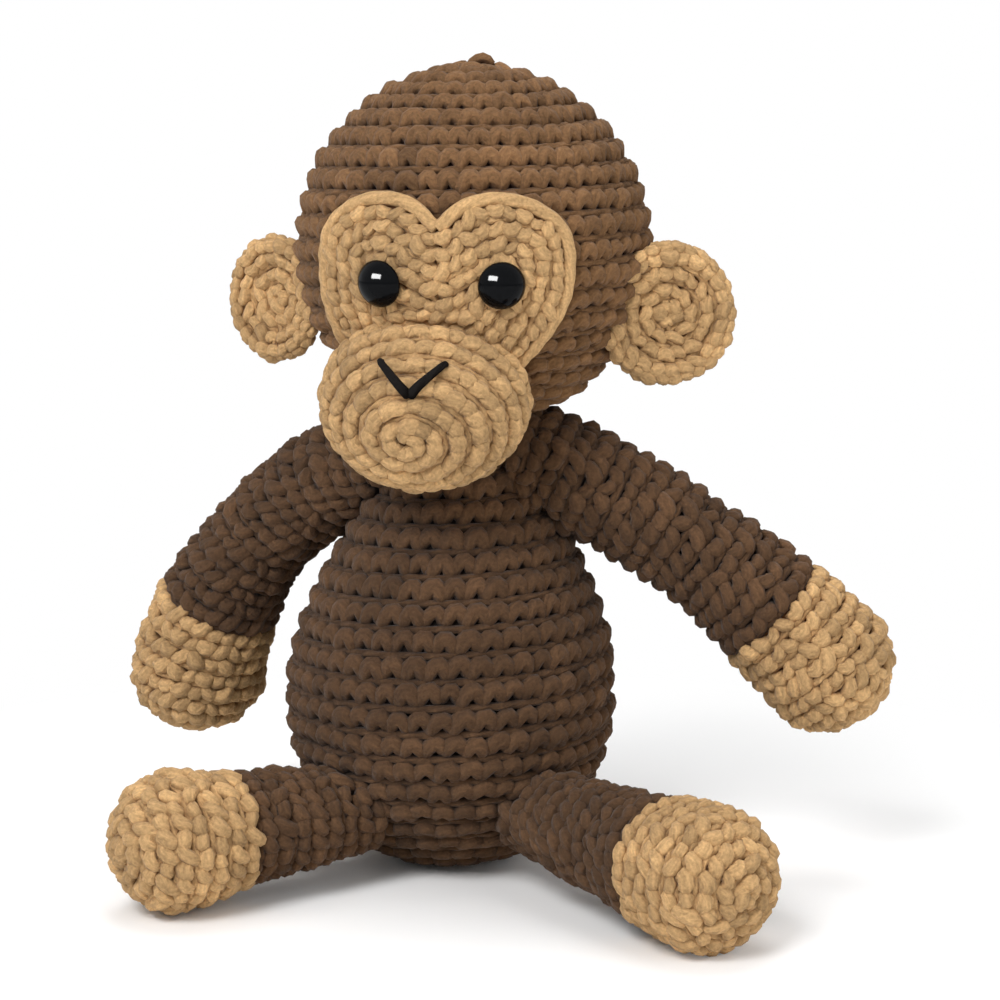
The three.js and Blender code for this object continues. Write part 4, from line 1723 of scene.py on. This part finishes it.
def torso_pivot(torso: Torso, height: float, side: Side, azimuth: float) -> tuple[Vector, Vector]:
    """A pivot 1 mm under the torso's surface, with the surface's outward direction.

    Args:
        torso: The torso.
        height: Height of the pivot.
        side: The side it is on.
        azimuth: Degrees from the front.

    Returns:
        The pivot and the direction.
    """
    angle = math.radians(azimuth)
    aim = Vector((side.value * math.sin(angle), -math.cos(angle), 0))
    reach = torso.radius_at(np.array([height - 0.5 * MM, height, height + 0.5 * MM]))
    facing = (aim + Vector((0, 0, (reach[0] - reach[2]) / MM))).normalized()
    middle = Vector(torso.middle_at(np.array(height)))
    return middle + aim * float(reach[1]) - facing * MM, facing


@dataclass
class Arm:
    """Sizes of one arm."""

    side: Side
    azimuth: float
    swing: float
    start_drop: float
    end_drop: float
    reach: float = 73 * MM
    radius: float = 11 * MM
    hand_radius: float = 13.9 * MM
    hand_length: float = 28.5 * MM
    shoulder_height: float = 83.5 * MM
    seed: int = 60

    def line(self, along: np.ndarray) -> tuple[np.ndarray, np.ndarray]:
        """The drooping centre line from the pivot.

        Args:
            along: Distances along it.

        Returns:
            Places and forward directions.
        """
        swing = math.radians(self.swing)
        heading = np.array([self.side.value * math.cos(swing), -math.sin(swing), 0.0])
        up = np.array([0.0, 0.0, 1.0])
        start = math.radians(self.start_drop)
        rate = math.radians(self.end_drop - self.start_drop) / self.reach
        on_line = np.clip(along, 0, self.reach)
        drop = start + rate * on_line
        out = (np.sin(drop) - math.sin(start)) / rate
        down = (math.cos(start) - np.cos(drop)) / rate
        forward = np.cos(drop)[:, None] * heading - np.sin(drop)[:, None] * up
        middle = out[:, None] * heading - down[:, None] * up + forward * (along - on_line)[:, None]
        return middle, forward

    def limb(self, torso: Torso) -> Limb:
        """The arm as a limb.

        Args:
            torso: The torso it is sewn to.

        Returns:
            The limb.
        """
        pivot, facing = torso_pivot(torso, self.shoulder_height, self.side, self.azimuth)
        return Limb(torso, self.side, "arm", "hand", "shoulder", pivot, facing, self.line, self.reach,
                    self.radius, self.radius, self.hand_radius, self.hand_length,
                    self.seed + self.side.value * 3)


@dataclass
class Leg:
    """Sizes of one leg."""

    side: Side
    azimuth: float
    reach: float
    heading: float
    root_radius: float = 9 * MM
    radius: float = 10.6 * MM
    foot_radius: float = 13.8 * MM
    foot_length: float = 26 * MM
    foot_cut: float = 0.5 * MM
    foot_gap: float = 0.6 * MM
    hip_height: float = 14.5 * MM
    seed: int = 70

    def line(self, along: np.ndarray, rise: float) -> tuple[np.ndarray, np.ndarray]:
        """The straight centre line from the pivot.

        Args:
            along: Distances along it.
            rise: How much it climbs over its reach.

        Returns:
            Places and forward directions.
        """
        heading = math.radians(self.heading)
        forward = np.array([self.side.value * math.sin(heading), -math.cos(heading), rise / self.reach])
        forward /= np.linalg.norm(forward)
        return along[:, None] * forward, np.tile(forward, (len(along), 1))

    def limb(self, torso: Torso) -> Limb:
        """The leg as a limb, with its foot a little over the floor.

        Args:
            torso: The torso it is sewn to.

        Returns:
            The limb.
        """
        pivot, facing = torso_pivot(torso, self.hip_height, self.side, self.azimuth)
        rise = self.foot_radius - self.foot_cut + self.foot_gap - pivot.z
        return Limb(torso, self.side, "leg", "foot", "hip", pivot, facing,
                    lambda along: self.line(along, rise), self.reach, self.root_radius, self.radius,
                    self.foot_radius, self.foot_length, self.seed + self.side.value * 3)


# Studio


@dataclass(frozen=True)
class Lamp:
    """A soft lamp that looks at the toy: place and size in metres, power in watts, and what it lights."""

    name: str
    place: tuple[float, float, float]
    size: tuple[float, float]
    power: float
    glossy: bool = False
    diffuse: bool = True

    def build(self) -> None:
        """Hangs the lamp."""
        data = bpy.data.lights.new(self.name, "AREA")
        data.shape = "RECTANGLE"
        data.size, data.size_y = self.size
        data.energy = self.power
        lamp = bpy.data.objects.new(self.name, data)
        lamp.location = self.place
        lamp.visible_glossy = self.glossy
        lamp.visible_diffuse = self.diffuse
        aim = Vector(LAMP_TARGET) - Vector(self.place)
        lamp.rotation_euler = aim.to_track_quat("-Z", "Y").to_euler()
        bpy.context.scene.collection.objects.link(lamp)


LAMP_TARGET = (0.0, 0.0, 0.08)
# The window lights gloss alone, and makes the bright spot in each eye
LAMPS = (
    Lamp("key", (-0.42, -0.78, 0.88), (0.5, 0.5), 10.5),
    Lamp("fill", (0.75, -0.55, 0.45), (0.8, 0.8), 3.5),
    Lamp("top", (0.05, 0.25, 1.1), (0.7, 0.7), 5.0),
    Lamp("window", (-0.56, -0.83, 0.60), (0.8, 0.38), 150.0, glossy=True, diffuse=False),
)


@dataclass
class Studio:
    """The camera, the soft lamps, the white room and the floor."""

    eye: tuple[float, float, float] = (0.010, -0.560, 0.158)
    target: tuple[float, float, float] = (0.010, 0.0, 0.074)
    focal_pixels: float = 2800.0
    image_pixels: float = 1000.0
    sensor: float = 36.0
    room_light: float = 0.42
    floor_shade: float = 0.95
    floor_size: float = 6.0
    fade_from: float = 0.07
    fade_to: float = 0.18

    def build(self) -> None:
        """Builds everything that isn't part of the toy."""
        self.build_camera()
        for lamp in LAMPS:
            lamp.build()
        self.build_room()
        self.build_floor()
        bpy.context.scene.view_settings.view_transform = "Standard"

    def build_camera(self) -> None:
        """Sets the camera at the photograph's viewing angle."""
        data = bpy.data.cameras.new("camera")
        data.sensor_width = self.sensor
        data.lens = self.sensor * self.focal_pixels / self.image_pixels
        data.clip_end = 20.0
        camera = bpy.data.objects.new("camera", data)
        camera.location = self.eye
        aim = Vector(self.target) - Vector(self.eye)
        camera.rotation_euler = aim.to_track_quat("-Z", "Y").to_euler()
        bpy.context.scene.collection.objects.link(camera)
        bpy.context.scene.camera = camera

    def build_room(self) -> None:
        """Lights the room evenly, and shows it white to the camera and in gloss."""
        world = bpy.data.worlds.new("room")
        nodes = Nodes(world)
        path = nodes.add("LightPath")
        seen = path.outputs["Is Camera Ray"]
        for kind in ("Is Glossy Ray", "Is Transmission Ray"):
            seen = nodes.math("MAXIMUM", seen, path.outputs[kind])
        lit, white = (nodes.add("Background", Color=WHITE, Strength=strength).outputs[0]
                      for strength in (self.room_light, 1.0))
        nodes.end(nodes.blend_shaders(seen, lit, white), "OutputWorld")
        bpy.context.scene.world = world

    def build_floor(self) -> None:
        """Lays a pale floor that keeps the toy's shadow."""
        mesh = bmesh.new()
        bmesh.ops.create_grid(mesh, x_segments=4, y_segments=4, size=self.floor_size)
        floor = bpy.data.objects.new("floor", finished(mesh, "floor"))
        bpy.context.scene.collection.objects.link(floor)
        floor.data.materials.append(self.floor_material())
        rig.stage(floor)

    def floor_material(self) -> bpy.types.Material:
        """A pale matte floor that fades to the white room away from the toy.

        Returns:
            The material.
        """
        material = bpy.data.materials.new("pale_floor")
        nodes = Nodes(material)
        place = nodes.add("TexCoord").outputs["Object"]
        away = nodes.add("VectorMath", operation="LENGTH", Vector=place)
        fade = nodes.remap(away.outputs["Value"], self.fade_from, self.fade_to)
        share = nodes.math("MULTIPLY", fade, nodes.add("LightPath").outputs["Is Camera Ray"])
        matte = nodes.add("BsdfDiffuse", Color=(self.floor_shade,) * 3 + (1.0,))
        white = nodes.add("Emission", Strength=1.0)
        nodes.end(nodes.blend_shaders(share, matte.outputs[0], white.outputs[0]))
        return material


def main() -> None:
    """Builds the studio and the toy, and reports the boxes."""
    Studio().build()
    torso = Torso()
    head = Head(torso)
    for part in (torso, head, FacePlane(head), Muzzle(head), Eyes(head), Ears(head)):
        part.build()
    arms = (Arm(Side.LEFT, 72, 4.5, 22, 48), Arm(Side.RIGHT, 96, -28, 14.5, 76))
    legs = (Leg(Side.LEFT, 38, 53.5 * MM, 36), Leg(Side.RIGHT, 44, 39.6 * MM, 58.5))
    for part in (*arms, *legs):
        part.limb(torso).build()
    boxes = {"cad": [list(corner) for corner in cad_box], "visual": [list(corner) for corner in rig.bounds()]}
    with open("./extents.json", "w", encoding="utf-8") as out:
        json.dump(boxes, out)


if __name__ == "__main__":
    main()
